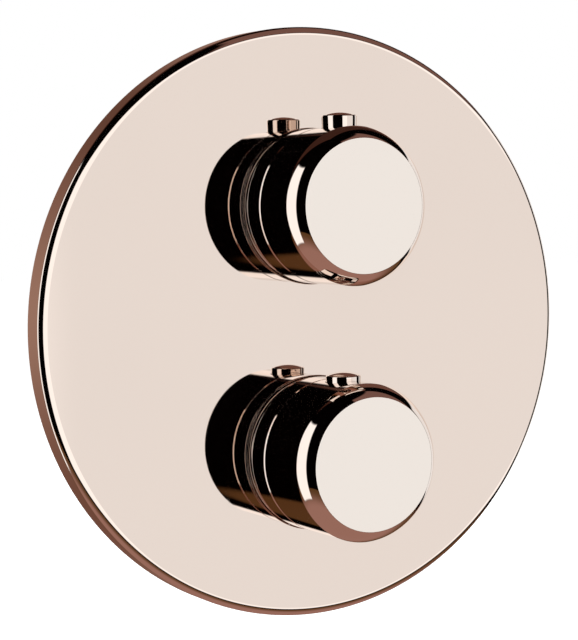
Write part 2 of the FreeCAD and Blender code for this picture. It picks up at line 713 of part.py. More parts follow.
def make_button(label, frame, stand):
    """Button: domed head, stem with a groove for the snap ring, and a foot that points at the wall."""
    clip_low = clip_top - d.clip_width
    button_edge = d.knob_radius + stand
    button = turned(
        label, frame,
        (0, foot_bottom), (d.stem_radius, foot_bottom), (d.stem_radius, clip_low - d.seal_gap),
        (clip_root, clip_low - d.seal_gap), (clip_root, clip_top + d.seal_gap), (d.stem_radius, clip_top + d.seal_gap),
        (d.stem_radius, button_underside), (d.button_radius, button_underside), (d.button_radius, button_edge),
        (0, button_edge + d.button_dome, dome_curve),
    )
    half = d.foot_width / 2
    foot = Drawing(button, "XY_Plane", foot_bottom).rectangle(-half, half, 0, d.foot_reach)
    pad(button, foot, d.foot_height)


def make_clip(label, frame):
    """Open snap ring in the stem's groove."""
    low = clip_top - d.clip_width
    inner = clip_root + d.seal_gap
    turned(label, frame, (inner, low), (d.clip_radius, low), (d.clip_radius, clip_top), (inner, clip_top), angle=300)


def make_grub_screw(label, frame):
    """Headless screw from the hub's socket downwards, with a hexagon socket in its outer end."""
    rotation, (x, y, height) = frame
    start = d.drive_width / 2 + d.seal_gap
    screw = turned(
        label, (DOWN, (x, -grub_axis, height)),
        (0, start), (d.grub_radius - 0.5, start), (d.grub_radius, start + 0.5),
        (d.grub_radius, start + d.grub_length), (0, start + d.grub_length),
    )
    socket = Drawing(screw, "XY_Plane", start + d.grub_length).hexagon(d.grub_socket)
    cut(screw, socket, Length=d.grub_length / 2)


def make_stop_ring(label, frame, angles):
    """Ring on the bonnet's spigot with teeth beside the button's foot; angles are the teeth's places."""
    start = plate_front + d.stop_start
    spigot = d.stop_spigot + d.insert_gap
    stop_ring = turned(
        label, frame,
        (spigot, start), (d.stop_radius, start), (d.stop_radius, start + d.stop_disc), (spigot, start + d.stop_disc),
    )
    clear = d.foot_width / 2 + d.tooth_gap
    for angle, side in angles:
        drawing = Drawing(stop_ring, "XY_Plane", start + d.stop_disc)
        near, far = (clear * side, (clear + d.tooth_width) * side)
        left, right = (near, far) if side > 0 else (far, near)
        drawing.rectangle(left, right, d.tooth_inner, d.tooth_outer)
        drawing.sketch.setExpression("AttachmentOffset.Rotation.Angle", size(angle).text)
        pad(stop_ring, drawing, d.tooth_height)


for name, frame, button_frame, projection, button_stand, stops in (
    (
        "flow", UPPER, UPPER_BUTTON, d.flow_projection, d.flow_button_stand,
        ((d.eco_angle, -1), (-d.eco_angle, 1)),
    ),
    (
        "temperature", LOWER, LOWER_BUTTON, d.temperature_projection, d.temperature_button_stand,
        ((0, -1),),
    ),
):
    make_knob(name + "_knob", frame, plate_front + projection)
    make_insert(name + "_insert", frame, plate_front + projection)
    make_button(name + "_button", button_frame, button_stand)
    make_clip(name + "_button_clip", button_frame)
    coil(
        name + "_button_spring", button_frame,
        d.button_spring_radius, d.button_wire, d.button_coils, d.ledge_height, button_underside,
    )
    make_grub_screw(name + "_grub_screw", frame)
    make_stop_ring(name + "_stop_ring", frame, stops)

# --------------------------------------------------------------------------------------------------
# What the two cartridges have in common: nut, bonnet, spindle seals and washer
# --------------------------------------------------------------------------------------------------

flange_front = d.seat_station + d.flange_height
cavity_station = below_seat(d.cavity_top)
collar_top = cavity_station - d.washer_height - d.end_gap * 2
collar_bottom = collar_top - d.collar_height
spindle_bore = d.spindle_radius + d.spindle_gap
spindle_groove = d.spindle_radius - d.spindle_seal + d.spindle_gap * 2
bonnet_outline = (
    (chamber_radius - d.barrel_gap, d.seat_station), (d.flange_radius, d.seat_station),
    (d.flange_radius, flange_front), (d.bonnet_radius, flange_front),
    (d.bonnet_radius, plate_front + d.stop_start), (d.stop_spigot, plate_front + d.stop_start),
    (d.stop_spigot, bonnet_front), (spindle_bore, bonnet_front), (spindle_bore, cavity_station),
)
spindle_seal_stations = [neck_front + d.nut_head, neck_front]


def make_nut(label, frame):
    """Threaded ring with a hexagon that clamps the cartridge's flange into the neck."""
    nut = turned(
        label, frame,
        (d.bonnet_radius + d.nut_gap, flange_front), (d.thread_radius - d.thread_gap, flange_front),
        (d.thread_radius - d.thread_gap, neck_front), (d.bonnet_radius + d.nut_gap, neck_front),
    )
    pad(nut, Drawing(nut, "XY_Plane", neck_front).hexagon(d.nut_hex), d.nut_head)
    cut_through(nut, Drawing(nut, "XY_Plane").circle(0, 0, d.bonnet_radius + d.nut_gap))


def make_spindle(label, frame, lower_end):
    """Spindle: the lower end's outline, collar, shank with two seal grooves, square drive."""
    grooves = []
    for station in reversed(spindle_seal_stations):
        low, high = station - d.spindle_seal / 2 - d.seal_gap, station + d.spindle_seal / 2 + d.seal_gap
        grooves += [(d.spindle_radius, low), (spindle_groove, low), (spindle_groove, high), (d.spindle_radius, high)]
    spindle = turned(
        label, frame,
        *lower_end, (d.collar_radius, collar_bottom), (d.collar_radius, collar_top),
        (d.spindle_radius, collar_top), *grooves, (d.spindle_radius, drive_rear), (0, drive_rear),
    )
    half = d.drive_width / 2
    pad(spindle, Drawing(spindle, "XY_Plane", drive_rear).rectangle(-half, half, -half, half), spindle_end - drive_rear)
    return spindle


def make_spindle_seals(label, frame):
    rotation, (x, y, height) = frame
    radius = (spindle_bore + spindle_groove) / 2
    section = (spindle_bore - spindle_groove) / 2 - d.seal_gap / 2
    group(label, [ring((rotation, (x, -station, height)), radius, section) for station in spindle_seal_stations])


def make_thrust_washer(label, frame):
    low = collar_top + d.end_gap
    inner = d.spindle_radius + d.spindle_gap * 2
    turned(
        label, frame,
        (inner, low), (d.washer_radius, low), (d.washer_radius, low + d.washer_height), (inner, low + d.washer_height),
    )


def barrel_groove(depth):
    """Corners of an outer O-ring groove at a depth below the seat, from the front backwards."""
    root = chamber_radius - d.barrel_seal + d.seal_gap
    station = below_seat(depth)
    half = d.barrel_seal / 2 + d.seal_gap
    return [
        (d.barrel_radius, station - half), (root, station - half),
        (root, station + half), (d.barrel_radius, station + half),
    ]


def barrel_ring(frame, depth):
    rotation, (x, y, height) = frame
    root = chamber_radius - d.barrel_seal + d.seal_gap
    place_of_ring = (rotation, (x, -below_seat(depth), height))
    return ring(place_of_ring, (chamber_radius + root) / 2, (chamber_radius - root) / 2 - d.seal_gap / 2)


for nut_label, name, frame in (("flow_cartridge_nut", "flow", UPPER), ("thermostat_nut", "thermostat", LOWER)):
    make_nut(nut_label, frame)
    make_spindle_seals(name + "_spindle_seals", frame)
    make_thrust_washer(name + "_thrust_washer", frame)

# --------------------------------------------------------------------------------------------------
# Flow cartridge: ceramic discs that close the water or send it to one of two outlets
# --------------------------------------------------------------------------------------------------

driver_top = collar_bottom - 2.4
driver_bottom = driver_top - d.driver_height
moving_bottom = driver_bottom - d.moving_disc
fixed_top = moving_bottom - d.disc_gap
fixed_bottom = fixed_top - d.fixed_disc
flow_floor = fixed_bottom - d.port_seal
flow_housing_end = flow_floor + 1.5
flow_seal_depth = 18.0

turned(
    "flow_housing", UPPER,
    (d.flow_cavity, flow_housing_end), (d.barrel_radius, flow_housing_end), *barrel_groove(flow_seal_depth),
    *bonnet_outline, (d.flow_cavity, cavity_station),
)
keep("flow_housing_seal", barrel_ring(UPPER, flow_seal_depth))

tang_bottom = driver_top - d.tang_depth + d.end_gap * 2
flow_spindle = make_spindle("flow_spindle", UPPER, [(0, collar_bottom)])
tang_half, tang_reach = d.tang_width / 2, d.tang_length / 2
tang = Drawing(flow_spindle, "XY_Plane", tang_bottom).rectangle(-tang_half, tang_half, -tang_reach, tang_reach)
pad(flow_spindle, tang, collar_bottom - tang_bottom)

driver = turned(
    "flow_driver", UPPER,
    (0, driver_bottom), (d.disc_radius, driver_bottom), (d.disc_radius, driver_top), (0, driver_top),
)
slot_x, slot_y = tang_half + d.slide_gap, tang_reach + d.slide_gap
cut(
    driver, Drawing(driver, "XY_Plane", driver_top).rectangle(-slot_x, slot_x, -slot_y, slot_y),
    Length=d.tang_depth,
)

moving = turned(
    "flow_moving_disc", UPPER,
    (0, moving_bottom), (d.disc_radius, moving_bottom), (d.disc_radius, driver_bottom), (0, driver_bottom),
)
channel = Drawing(moving, "XY_Plane", moving_bottom).rectangle(-d.slot_half, d.slot_half, -d.slot_reach, d.port_radius)
cut(moving, channel, Length=d.slot_depth, Reversed=True)


def ported_disc(label, radius, low, high):
    """A disc with the inlet in its middle and an outlet at each side."""
    disc = turned(label, UPPER, (0, low), (radius, low), (radius, high), (0, high))
    ports = Drawing(disc, "XY_Plane")
    for across in (0, d.port_pitch, -d.port_pitch):
        ports.circle(across, 0, d.port_radius)
    cut_through(disc, ports)


ported_disc("flow_fixed_disc", d.fixed_disc_radius, fixed_bottom, fixed_top)
ported_disc("flow_port_seal", d.fixed_disc_radius - 0.2, flow_floor, fixed_bottom)

# --------------------------------------------------------------------------------------------------
# Thermostatic cartridge: the spindle screws a nut along its guide, which sets the wax element and the
# shuttle between the hot and the cold windows
# --------------------------------------------------------------------------------------------------

cup_top = below_seat(d.nut_top + d.nut_thread + d.cup_floor)
nut_top = below_seat(d.nut_top)
nut_bottom = below_seat(d.nut_top + d.nut_length)
shuttle_high = below_seat(d.shuttle_top)
shuttle_low = shuttle_high - d.shuttle_length
housing_end = below_seat(d.thermostat_end)
cap_top = housing_end + d.cap_height
cold_window = shuttle_high + d.window_lead
hot_window = shuttle_low - d.window_lead
groove_low = nut_bottom + 0.4
overload_low = groove_low + d.clip_width + d.end_gap * 2
overload_high = overload_low + d.overload_washer
pin_top = overload_low
web_high = shuttle_high - 3.0
web_low = web_high - d.shuttle_web
outer_seals = (15.0, 33.0, 46.3)

housing = turned(
    "thermostat_housing", LOWER,
    (d.thermostat_bore, housing_end), (d.barrel_radius, housing_end),
    *barrel_groove(outer_seals[2]), *barrel_groove(outer_seals[1]), *barrel_groove(outer_seals[0]),
    *bonnet_outline, (d.guide_bore, cavity_station), (d.guide_bore, below_seat(d.guide_end)),
    (d.thermostat_bore, below_seat(d.guide_end)),
)
for window in (hot_window, cold_window):
    half_width, half_height = d.window_width / 2, d.window_height / 2
    for plane in ("XZ_Plane", "YZ_Plane"):
        opening = Drawing(housing, plane)
        opening.rectangle(-half_width, half_width, window - half_height, window + half_height)
        cut_through(housing, opening)
for side in (1, -1):
    flat = Drawing(housing, "XY_Plane", below_seat(d.guide_end))
    reach = math.sqrt(NUMBERS["guide_bore"] ** 2 - NUMBERS["guide_flat"] ** 2) + 0.5
    near, far = d.guide_flat * side, (d.guide_bore + 0.5) * side
    flat.rectangle(near if side > 0 else far, far if side > 0 else near, -reach, reach)
    pad(housing, flat, cavity_station - below_seat(d.guide_end))
group("thermostat_housing_seals", [barrel_ring(LOWER, depth) for depth in outer_seals])

thread_station = below_seat(d.thread_end)
make_spindle(
    "thermostat_spindle", LOWER,
    [(0, thread_station), (d.thread_core, thread_station), (d.thread_core, collar_bottom)],
)

nut_radius = d.guide_bore - d.slide_gap
clip_outer = d.cup_radius + 0.7
regulating_nut = turned(
    "regulating_nut", LOWER,
    (d.cup_radius, nut_bottom), (nut_radius, nut_bottom), (nut_radius, nut_top),
    (d.thread_core + d.spindle_gap, nut_top), (d.thread_core + d.spindle_gap, cup_top), (d.cup_radius, cup_top),
    (d.cup_radius, groove_low + d.clip_width + d.end_gap), (clip_outer + d.end_gap, groove_low + d.clip_width + d.end_gap),
    (clip_outer + d.end_gap, groove_low - d.end_gap), (d.cup_radius, groove_low - d.end_gap),
)
for side in (1, -1):
    near, far = (d.guide_flat - d.slide_gap) * side, (nut_radius + 1.0) * side
    shaved = Drawing(regulating_nut, "XY_Plane", nut_top)
    shaved.rectangle(near if side > 0 else far, far if side > 0 else near, -nut_radius, nut_radius)
    cut(regulating_nut, shaved, Length=d.nut_length - 3.5)

coil(
    "overload_spring", LOWER,
    d.overload_radius, d.overload_wire, d.overload_coils, overload_high, cup_top,
)
turned(
    "overload_washer", LOWER,
    (0, overload_low), (d.cup_radius - d.end_gap, overload_low), (d.cup_radius - d.end_gap, overload_high),
    (0, overload_high),
)
turned(
    "overload_clip", LOWER,
    (d.cup_radius - 1.2, groove_low), (clip_outer, groove_low), (clip_outer, groove_low + d.clip_width),
    (d.cup_radius - 1.2, groove_low + d.clip_width), angle=320,
)

bulb_end = web_low - d.wax_length
turned(
    "wax_element", LOWER,
    (0, bulb_end), (d.wax_radius - 1.0, bulb_end), (d.wax_radius, bulb_end + 1.0, 1.0), (d.wax_radius, web_low),
    (d.wax_flange, web_low), (d.wax_flange, web_high), (d.wax_radius - 0.5, web_high),
    (d.wax_radius - 0.5, web_high + 1.5), (d.wax_pin, web_high + 1.5), (d.wax_pin, pin_top), (0, pin_top),
)

shuttle_radius = d.thermostat_bore - d.slide_gap
shuttle_inside = shuttle_radius - d.shuttle_wall
seal_middle = (shuttle_high + shuttle_low) / 2
shuttle_root = d.thermostat_bore - d.barrel_seal + d.seal_gap
half_groove = d.barrel_seal / 2 + d.seal_gap
shuttle = turned(
    "thermostat_shuttle", LOWER,
    (shuttle_inside, shuttle_low), (shuttle_radius, shuttle_low), (shuttle_radius, seal_middle - half_groove),
    (shuttle_root, seal_middle - half_groove), (shuttle_root, seal_middle + half_groove),
    (shuttle_radius, seal_middle + half_groove), (shuttle_radius, shuttle_high), (shuttle_inside, shuttle_high),
    (shuttle_inside, web_high), (d.wax_flange + d.insert_gap, web_high), (d.wax_flange + d.insert_gap, web_low),
    (shuttle_inside, web_low),
)
holes = Drawing(shuttle, "XY_Plane")
hole_ring = (shuttle_inside + d.wax_flange) / 2
for step in range(8):
    angle = math.radians(45 * step)
    holes.circle(hole_ring * math.cos(angle), hole_ring * math.sin(angle), (shuttle_inside - d.wax_flange) / 2 - 0.5)
cut_through(shuttle, holes)
seal_radius = (d.thermostat_bore + shuttle_root) / 2
seal_section = (d.thermostat_bore - shuttle_root) / 2 - d.seal_gap / 2
keep("shuttle_seal", ring((TO_USER, (0, -seal_middle, -d.lower_axis)), seal_radius, seal_section))

coil("return_spring", LOWER, d.return_radius, d.return_wire, d.return_coils, cap_top, web_low)
turned(
    "thermostat_end_cap", LOWER,
    (d.cap_hole, housing_end), (d.thermostat_bore - d.thread_gap, housing_end),
    (d.thermostat_bore - d.thread_gap, cap_top), (d.cap_hole, cap_top),
)

# --------------------------------------------------------------------------------------------------
# Valve body: one casting with both chambers, the galleries between them and four port bosses
# --------------------------------------------------------------------------------------------------

upper, lower = d.upper_axis, -d.lower_axis
chamber_floor = below_seat(d.thermostat_end + d.floor_gap)
inlet_boss = d.inlet_reach - d.inlet_hex
upper_boss = d.upper_reach - d.outlet_hex
lower_boss = d.lower_reach - d.outlet_hex
port_bore = d.spigot_radius + d.thread_gap
port_length = d.spigot_length + d.spigot_clear
cross_low = d.inlet_station - d.pipe_radius + d.cross_radius
cross_high = d.inlet_station + d.pipe_radius - d.cross_radius


def along(height, start, end, radius, across=0):
    """A rod along a spindle's axis between two stations."""
    return rod(TO_USER, (across, -size(start), height), radius, size(end) - size(start))


def sideways(rotation, station, start, end, radius, height):
    """A rod from the spindle's axis to the left or to the right."""
    sign = 1 if rotation is TO_RIGHT else -1
    return rod(rotation, (size(start) * sign, -size(station), height), radius, size(end) - size(start))


def upright(across, station, low, high, radius):
    return rod(UP, (across, -size(station), low), radius, size(high) - size(low))


screw_places = [
    (d.screw_width / 2 * x_side, d.screw_height / 2 * z_side) for x_side in (-1, 1) for z_side in (-1, 1)
]
casting = fuse([
    along(upper, d.body_rear, d.barrel_front, d.body_radius),
    along(lower, d.body_rear, d.barrel_front, d.body_radius),
    along(upper, d.barrel_front, neck_front, neck_radius),
    along(lower, d.barrel_front, neck_front, neck_radius),
    block((d.web_width / -2, d.web_width / 2), (-d.web_front, -d.body_rear), (lower, upper)),
    sideways(TO_LEFT, d.inlet_station, 0, inlet_boss, d.boss_radius, lower),
    sideways(TO_RIGHT, d.inlet_station, 0, inlet_boss, d.boss_radius, lower),
    upright(0, d.upper_outlet_station, upper, upper + upper_boss, d.boss_radius),
    upright(0, d.lower_outlet_station, lower - lower_boss, lower, d.boss_radius),
] + [along(height, d.bracket_thickness, d.body_rear, d.pad_radius, across) for across, height in screw_places])

upper_port = upper + upper_boss - port_length
lower_port = lower - lower_boss + port_length
half_gallery = d.gallery_width / 2
cavities = fuse([
    along(upper, flow_floor, d.seat_station, chamber_radius),
    along(upper, d.seat_station, neck_front, d.thread_radius),
    along(lower, chamber_floor, d.seat_station, chamber_radius),
    along(lower, d.seat_station, neck_front, d.thread_radius),
    along(lower, hot_window - half_gallery, hot_window + half_gallery, d.gallery_radius),
    along(lower, cold_window - half_gallery, cold_window + half_gallery, d.gallery_radius),
    sideways(TO_LEFT, d.inlet_station, inlet_boss - port_length, inlet_boss, port_bore, lower),
    sideways(TO_RIGHT, d.inlet_station, inlet_boss - port_length, inlet_boss, port_bore, lower),
    sideways(TO_LEFT, cross_low, d.thermostat_bore, inlet_boss - port_length, d.cross_radius, lower),
    sideways(TO_RIGHT, cross_high, d.thermostat_bore, inlet_boss - port_length, d.cross_radius, lower),
    upright(0, d.upper_outlet_station, upper_port, upper + upper_boss, port_bore),
    upright(0, d.upper_outlet_station, upper_port - d.pocket_depth, upper_port, d.outlet_pocket),
    upright(0, d.lower_outlet_station, lower - lower_boss, lower_port, port_bore),
    upright(0, d.lower_outlet_station, lower_port, lower_port + d.pocket_depth, d.outlet_pocket),
    along(upper, d.mixed_station, flow_floor, d.port_radius),
    upright(d.mixed_offset, d.mixed_station, lower, upper + d.port_radius / 2, d.mixed_radius),
    along(upper, d.upper_outlet_station - d.port_radius, flow_floor, d.port_radius, d.port_pitch),
    upright(d.port_pitch, d.upper_outlet_station, upper, upper_port, d.rear_radius),
    along(upper, d.rear_station, flow_floor, d.port_radius, -d.port_pitch),
    upright(-d.rear_offset, d.rear_station, lower_port, upper + d.port_radius / 2, d.rear_radius),
] + [
    along(height, d.bracket_thickness, d.screw_length + 1.0, d.screw_radius + d.thread_gap, across)
    for across, height in screw_places
])
keep("valve_body", difference(casting, cavities))

# --------------------------------------------------------------------------------------------------
# Connectors with G1/2 internal threads, their O-rings, strainers and non-return valves
# --------------------------------------------------------------------------------------------------

seal_half = d.barrel_seal / 2
connector_seals = []


def make_connector(label, frame, boss, mouth, bores):
    """Screwed connector: thread into the boss, hexagon outside it; bores are (radius, start) from the mouth."""
    start = boss - d.spigot_length
    ring_station = boss - d.barrel_seal
    root = d.spigot_radius - d.barrel_seal + d.seal_gap * 2
    inner = [(bores[-1][0], start)]
    outline = inner + [
        (d.spigot_radius, start), (d.spigot_radius, ring_station - seal_half - d.seal_gap),
        (root, ring_station - seal_half - d.seal_gap), (root, ring_station + seal_half + d.seal_gap),
        (d.spigot_radius, ring_station + seal_half + d.seal_gap), (d.spigot_radius, boss), (bores[-1][0], boss),
    ]
    connector = turned(label, frame, *outline)
    pad(connector, Drawing(connector, "XY_Plane", boss).hexagon(d.connector_hex), mouth - boss)
    for radius, depth in bores:
        drill = Drawing(connector, "XY_Plane", mouth).circle(0, 0, radius)
        cut(connector, drill, Length=depth)
    radius = (port_bore + root) / 2
    rotation, origin = frame
    along_axis = rotation.multVec(Vector(0, 0, 1))
    ring_origin = [
        size(value) + ring_station * part for value, part in zip(origin, (along_axis.x, along_axis.y, along_axis.z))
    ]
    connector_seals.append(ring((rotation, ring_origin), radius, (port_bore - root) / 2 - d.seal_gap / 2))
    return connector


inlet_bores = (
    (d.pipe_radius, d.pipe_depth), (d.strainer_radius + d.check_gap, d.pipe_depth + d.strainer_seat),
    (d.check_radius + d.check_gap, d.inlet_hex + d.spigot_length),
)
outlet_bores = ((d.pipe_radius, d.pipe_depth), (d.outlet_bore, d.outlet_hex + d.spigot_length))
strainer_low = d.inlet_reach - d.pipe_depth - d.strainer_seat
check_high = strainer_low - 0.5
check_low = check_high - d.check_length
seat_low = check_high - d.check_seat_height
poppet_high = seat_low - d.end_gap
poppet_low = poppet_high - d.poppet_height
stem_end = check_low + 0.9
check_inside = d.check_radius - d.check_wall
guide_top = check_low + d.check_end


def ring_of_holes(drawing, ring_radius, hole_radius, count):
    for step in range(count):
        angle = 2 * math.pi * step / count
        drawing.circle(ring_radius * math.cos(angle), ring_radius * math.sin(angle), hole_radius)


for name, frame in (("hot", HOT), ("cold", COLD)):
    make_connector(name + "_inlet", frame, inlet_boss, d.inlet_reach, inlet_bores)
    strainer = turned(
        name + "_strainer", frame,
        (0, strainer_low), (d.strainer_radius, strainer_low),
        (d.strainer_radius, strainer_low + d.strainer_height), (0, strainer_low + d.strainer_height),
    )
    mesh = Drawing(strainer, "XY_Plane")
    mesh.circle(0, 0, d.strainer_hole)
    for number in (1, 2, 3):
        ring_of_holes(mesh, d.strainer_radius * number / 3.8, d.strainer_hole, 6 * number)
    cut_through(strainer, mesh)
    check = turned(
        name + "_check_housing", frame,
        (d.poppet_stem + d.poppet_gap, check_low), (d.check_radius, check_low), (d.check_radius, check_high),
        (d.check_seat, check_high), (d.check_seat, seat_low), (check_inside, seat_low),
        (check_inside, guide_top), (d.poppet_stem + d.poppet_gap, guide_top),
    )
    vents = Drawing(check, "XY_Plane", check_low)
    ring_of_holes(vents, (check_inside + d.poppet_stem) / 2 + 0.4, (check_inside - d.poppet_stem) / 2 - 1.1, 6)
    cut(check, vents, Length=d.check_end, Reversed=True)
    turned(
        name + "_check_poppet", frame,
        (0, stem_end), (d.poppet_stem, stem_end), (d.poppet_stem, poppet_low), (d.poppet_radius, poppet_low),
        (d.poppet_radius, poppet_high), (d.check_seat - 0.4, poppet_high), (d.check_seat - 1.2, poppet_high + 0.8),
        (0, poppet_high + 0.8),
    )
    coil(
        name + "_check_spring", frame,
        d.check_spring_radius, d.check_wire, d.check_coils, guide_top, poppet_low,
    )
make_connector("upper_outlet", TOP_OUTLET, upper_boss, d.upper_reach, outlet_bores)
make_connector("lower_outlet", BOTTOM_OUTLET, lower_boss, d.lower_reach, outlet_bores)
group("connector_seals", connector_seals)

# --------------------------------------------------------------------------------------------------
# Mounting bracket and its four countersunk screws
# --------------------------------------------------------------------------------------------------

half_x, half_y = d.bracket_width / 2, d.bracket_height / 2
corner = d.bracket_corner
bracket = new_body("mounting_bracket", PLATE)
sheet_outline = Drawing(bracket, "XY_Plane").path(
    (half_x, -(half_y - corner), corner), (half_x, half_y - corner), (half_x - corner, half_y, corner),
    (-(half_x - corner), half_y), (-half_x, half_y - corner, corner), (-half_x, -(half_y - corner)),
    (-(half_x - corner), -half_y, corner), (half_x - corner, -half_y),
)
pad(bracket, sheet_outline, d.bracket_thickness)
fixings = Drawing(bracket, "XY_Plane")
for x_side in (-1, 1):
    for y_side in (-1, 1):
        fixings.circle(d.fixing_width / 2 * x_side, d.fixing_height / 2 * y_side, d.fixing_radius)
cut_through(bracket, fixings)
head_height = d.screw_head - d.screw_radius
for across, height in screw_places:
    hole = Drawing(bracket, "XY_Plane").circle(across, height, d.screw_radius + d.thread_gap)
    cut_through(bracket, hole)
    sink = Drawing(bracket, "XY_Plane").circle(across, height, d.screw_head + d.thread_gap)
    doc.recompute()
    cut(bracket, sink, Length=head_height, Reversed=True, TaperAngle=-45)

screws = []
for across, height in screw_places:
    head = solid(
        "Cone", (TO_USER, (across, 0, height)), Radius1=d.screw_head, Radius2=d.screw_radius, Height=head_height
    )
    screws.append(fuse([head, along(height, 0, d.screw_length, d.screw_radius, across)]))
group("bracket_screws", screws)

# --------------------------------------------------------------------------------------------------
# Recompute, check every object and write the sub-parts
# --------------------------------------------------------------------------------------------------

doc.recompute()
for thing in doc.Objects:
    if "Invalid" in thing.State or "Error" in thing.State:
        raise ValueError("%s failed: %s" % (thing.Label, thing.State))
os.makedirs("parts", exist_ok=True)
for label, thing in nodes.items():
    shape = thing.Shape
    if shape.isNull() or not shape.isValid() or not shape.Solids:
        raise ValueError("%s has no valid solid" % label)
    shape.exportStep("parts/%s.step" % label)
    print("%-26s solids %d volume %10.2f" % (label, len(shape.Solids), shape.Volume))
print("sub-parts:", len(nodes))
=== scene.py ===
"""Concealed thermostatic shower valve, dressed for the render: a mirror-finished round plate with two knobs
in front, and the brass body, connectors and bracket that disappear into the wall behind it."""

import math

import bmesh
import bpy
import numpy as np
from mathutils import Matrix, Vector


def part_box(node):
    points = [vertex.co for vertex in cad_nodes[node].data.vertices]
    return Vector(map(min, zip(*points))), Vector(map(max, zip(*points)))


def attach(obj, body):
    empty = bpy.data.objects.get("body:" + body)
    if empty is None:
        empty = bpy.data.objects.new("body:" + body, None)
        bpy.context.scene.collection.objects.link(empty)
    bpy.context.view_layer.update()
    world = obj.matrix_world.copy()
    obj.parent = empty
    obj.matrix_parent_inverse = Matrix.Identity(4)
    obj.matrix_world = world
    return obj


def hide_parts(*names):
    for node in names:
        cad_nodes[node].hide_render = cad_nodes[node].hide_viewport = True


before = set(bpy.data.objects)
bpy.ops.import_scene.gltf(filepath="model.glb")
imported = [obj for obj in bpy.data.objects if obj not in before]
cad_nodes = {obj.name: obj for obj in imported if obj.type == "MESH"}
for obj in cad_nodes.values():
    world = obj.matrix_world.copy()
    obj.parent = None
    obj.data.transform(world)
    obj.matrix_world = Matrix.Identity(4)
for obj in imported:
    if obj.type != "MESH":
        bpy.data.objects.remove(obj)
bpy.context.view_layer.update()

# ----------------------------------------------------------------------------------------------------
# Face plate: pressed brass disc, polished to a mirror and coated rose gold in a vacuum. Its rim is turned
# back to the wall, and each hole is drawn inwards to a collar whose O-ring grips the sleeve.
# ----------------------------------------------------------------------------------------------------


class Field:
    """One output of a node tree: a value that varies over a surface. Arithmetic adds the Math nodes."""

    def __init__(self, tree, output):
        self.tree, self.output = tree, output

    def node(self, kind, settings=None, inputs=None, output=0):
        """Any node of the same tree: its settings first, then the values or links of its sockets."""
        made = self.tree.nodes.new(kind)
        for name, value in (settings or {}).items():
            setattr(made, name, value)
        for name, value in (inputs or {}).items():
            if isinstance(value, Field):
                self.tree.links.new(value.output, made.inputs[name])
            else:
                made.inputs[name].default_value = value
        return Field(self.tree, made.outputs[output])

    def math(self, operation, *values):
        """A Math node of the same tree, on these values or links."""
        return self.node("ShaderNodeMath", {"operation": operation}, dict(enumerate(values)))

    def __add__(self, other):
        return self.math("ADD", self, other)

    def __radd__(self, other):
        return self.math("ADD", other, self)

    def __sub__(self, other):
        return self.math("SUBTRACT", self, other)

    def __rsub__(self, other):
        return self.math("SUBTRACT", other, self)

    def __mul__(self, other):
        return self.math("MULTIPLY", self, other)

    def __rmul__(self, other):
        return self.math("MULTIPLY", other, self)

    def fade(self, low, high):
        """0 below low, 1 above high (or the other way round), with a smooth change between them."""
        settings = {"interpolation_type": "SMOOTHSTEP"}
        return self.node("ShaderNodeMapRange", settings, {"Value": self, "From Min": low, "From Max": high})

    def split(self):
        """The three parts of a vector."""
        return [self.node("ShaderNodeSeparateXYZ", None, {"Vector": self}, part) for part in "XYZ"]

    def mix(self, first, second):
        """Colour first where this field is 0, second where it is 1."""
        return self.node("ShaderNodeMix", {"data_type": "RGBA"}, {0: self, 6: first, 7: second}, 2)

    def noise(self, scale, detail=2.0, stretch=(1, 1, 1)):
        """Cloudy noise with features about 1/scale metres across, drawn out along the axes by stretch."""
        place = self.node("ShaderNodeVectorMath", {"operation": "MULTIPLY"}, {0: self, 1: stretch})
        return self.node("ShaderNodeTexNoise", None, {"Vector": place, "Scale": scale, "Detail": detail})

    def bump(self, strength, distance):
        """The surface's normals, tilted as if this field were its height over so many metres."""
        inputs = {"Strength": strength, "Distance": distance, "Height": self}
        return self.node("ShaderNodeBump", None, inputs)


def start(name, **constants):
    """A new material: its object coordinates, and a function that feeds fields to its one shader."""
    material = bpy.data.materials.new(name)
    material.use_nodes = True
    tree = material.node_tree
    shader = tree.nodes["Principled BSDF"]
    for socket, value in constants.items():
        shader.inputs[socket.replace("_", " ")].default_value = value
    coordinates = Field(tree, tree.nodes.new("ShaderNodeTexCoord").outputs["Object"])

    def feed(**fields):
        for socket, field in fields.items():
            tree.links.new(field.output, shader.inputs[socket.replace("_", " ")])
        return material

    return coordinates, feed


def shade(colour, share):
    """The same colour at a share of its brightness."""
    return tuple(share * part for part in colour[:3]) + (1.0,)


def rose_gold(name, colour, spindle=None):
    """Rose gold mirror: a faint bloom of wipe marks in the gloss and hairline scratches. A spindle, as its
    height, the front's station, the flat face's radius and a paler colour for that face, adds the lathe's
    marks and paints the flat face in that paler colour, a painted highlight."""
    place, feed = start(name, Metallic=1.0, Specular_IOR_Level=0.5)
    bloom = place.noise(9.0, 3.0).fade(0.42, 0.75)
    hairs = place.noise(260.0, 4.0, (1.0, 1.0, 0.03)).fade(0.62, 0.72)
    tint = bloom.mix(colour, shade(colour, 0.985))
    height = place.noise(420.0, 2.0) * 0.25 + hairs * 0.5
    if spindle is not None:
        axis_height, front_station, face_radius, face_painted_highlight = spindle
        x, y, z = place.split()
        z = z - axis_height
        radius = place.math("SQRT", x * x + z * z)
        # The flat face inside the nose is painted paler than the rest of the knob: a painted highlight.
        painted_highlight_on_face = radius.fade(face_radius + 0.0001, face_radius - 0.0001)
        painted_highlight_on_face = painted_highlight_on_face * y.fade(front_station + 0.0004, front_station)
        tint = painted_highlight_on_face.mix(tint, face_painted_highlight)
        marks = radius.node("ShaderNodeCombineXYZ", None, {"X": radius, "Y": y})
        height = height + marks.noise(2600.0, 2.0) * 0.3
    roughness = bloom * 0.02 + hairs * 0.03 + 0.025
    return feed(Base_Color=tint, Roughness=roughness, Normal=height.bump(0.02, 0.00004))


FLAT_GUARD, MERGE_GRID = 3e-5, 1.23e-7


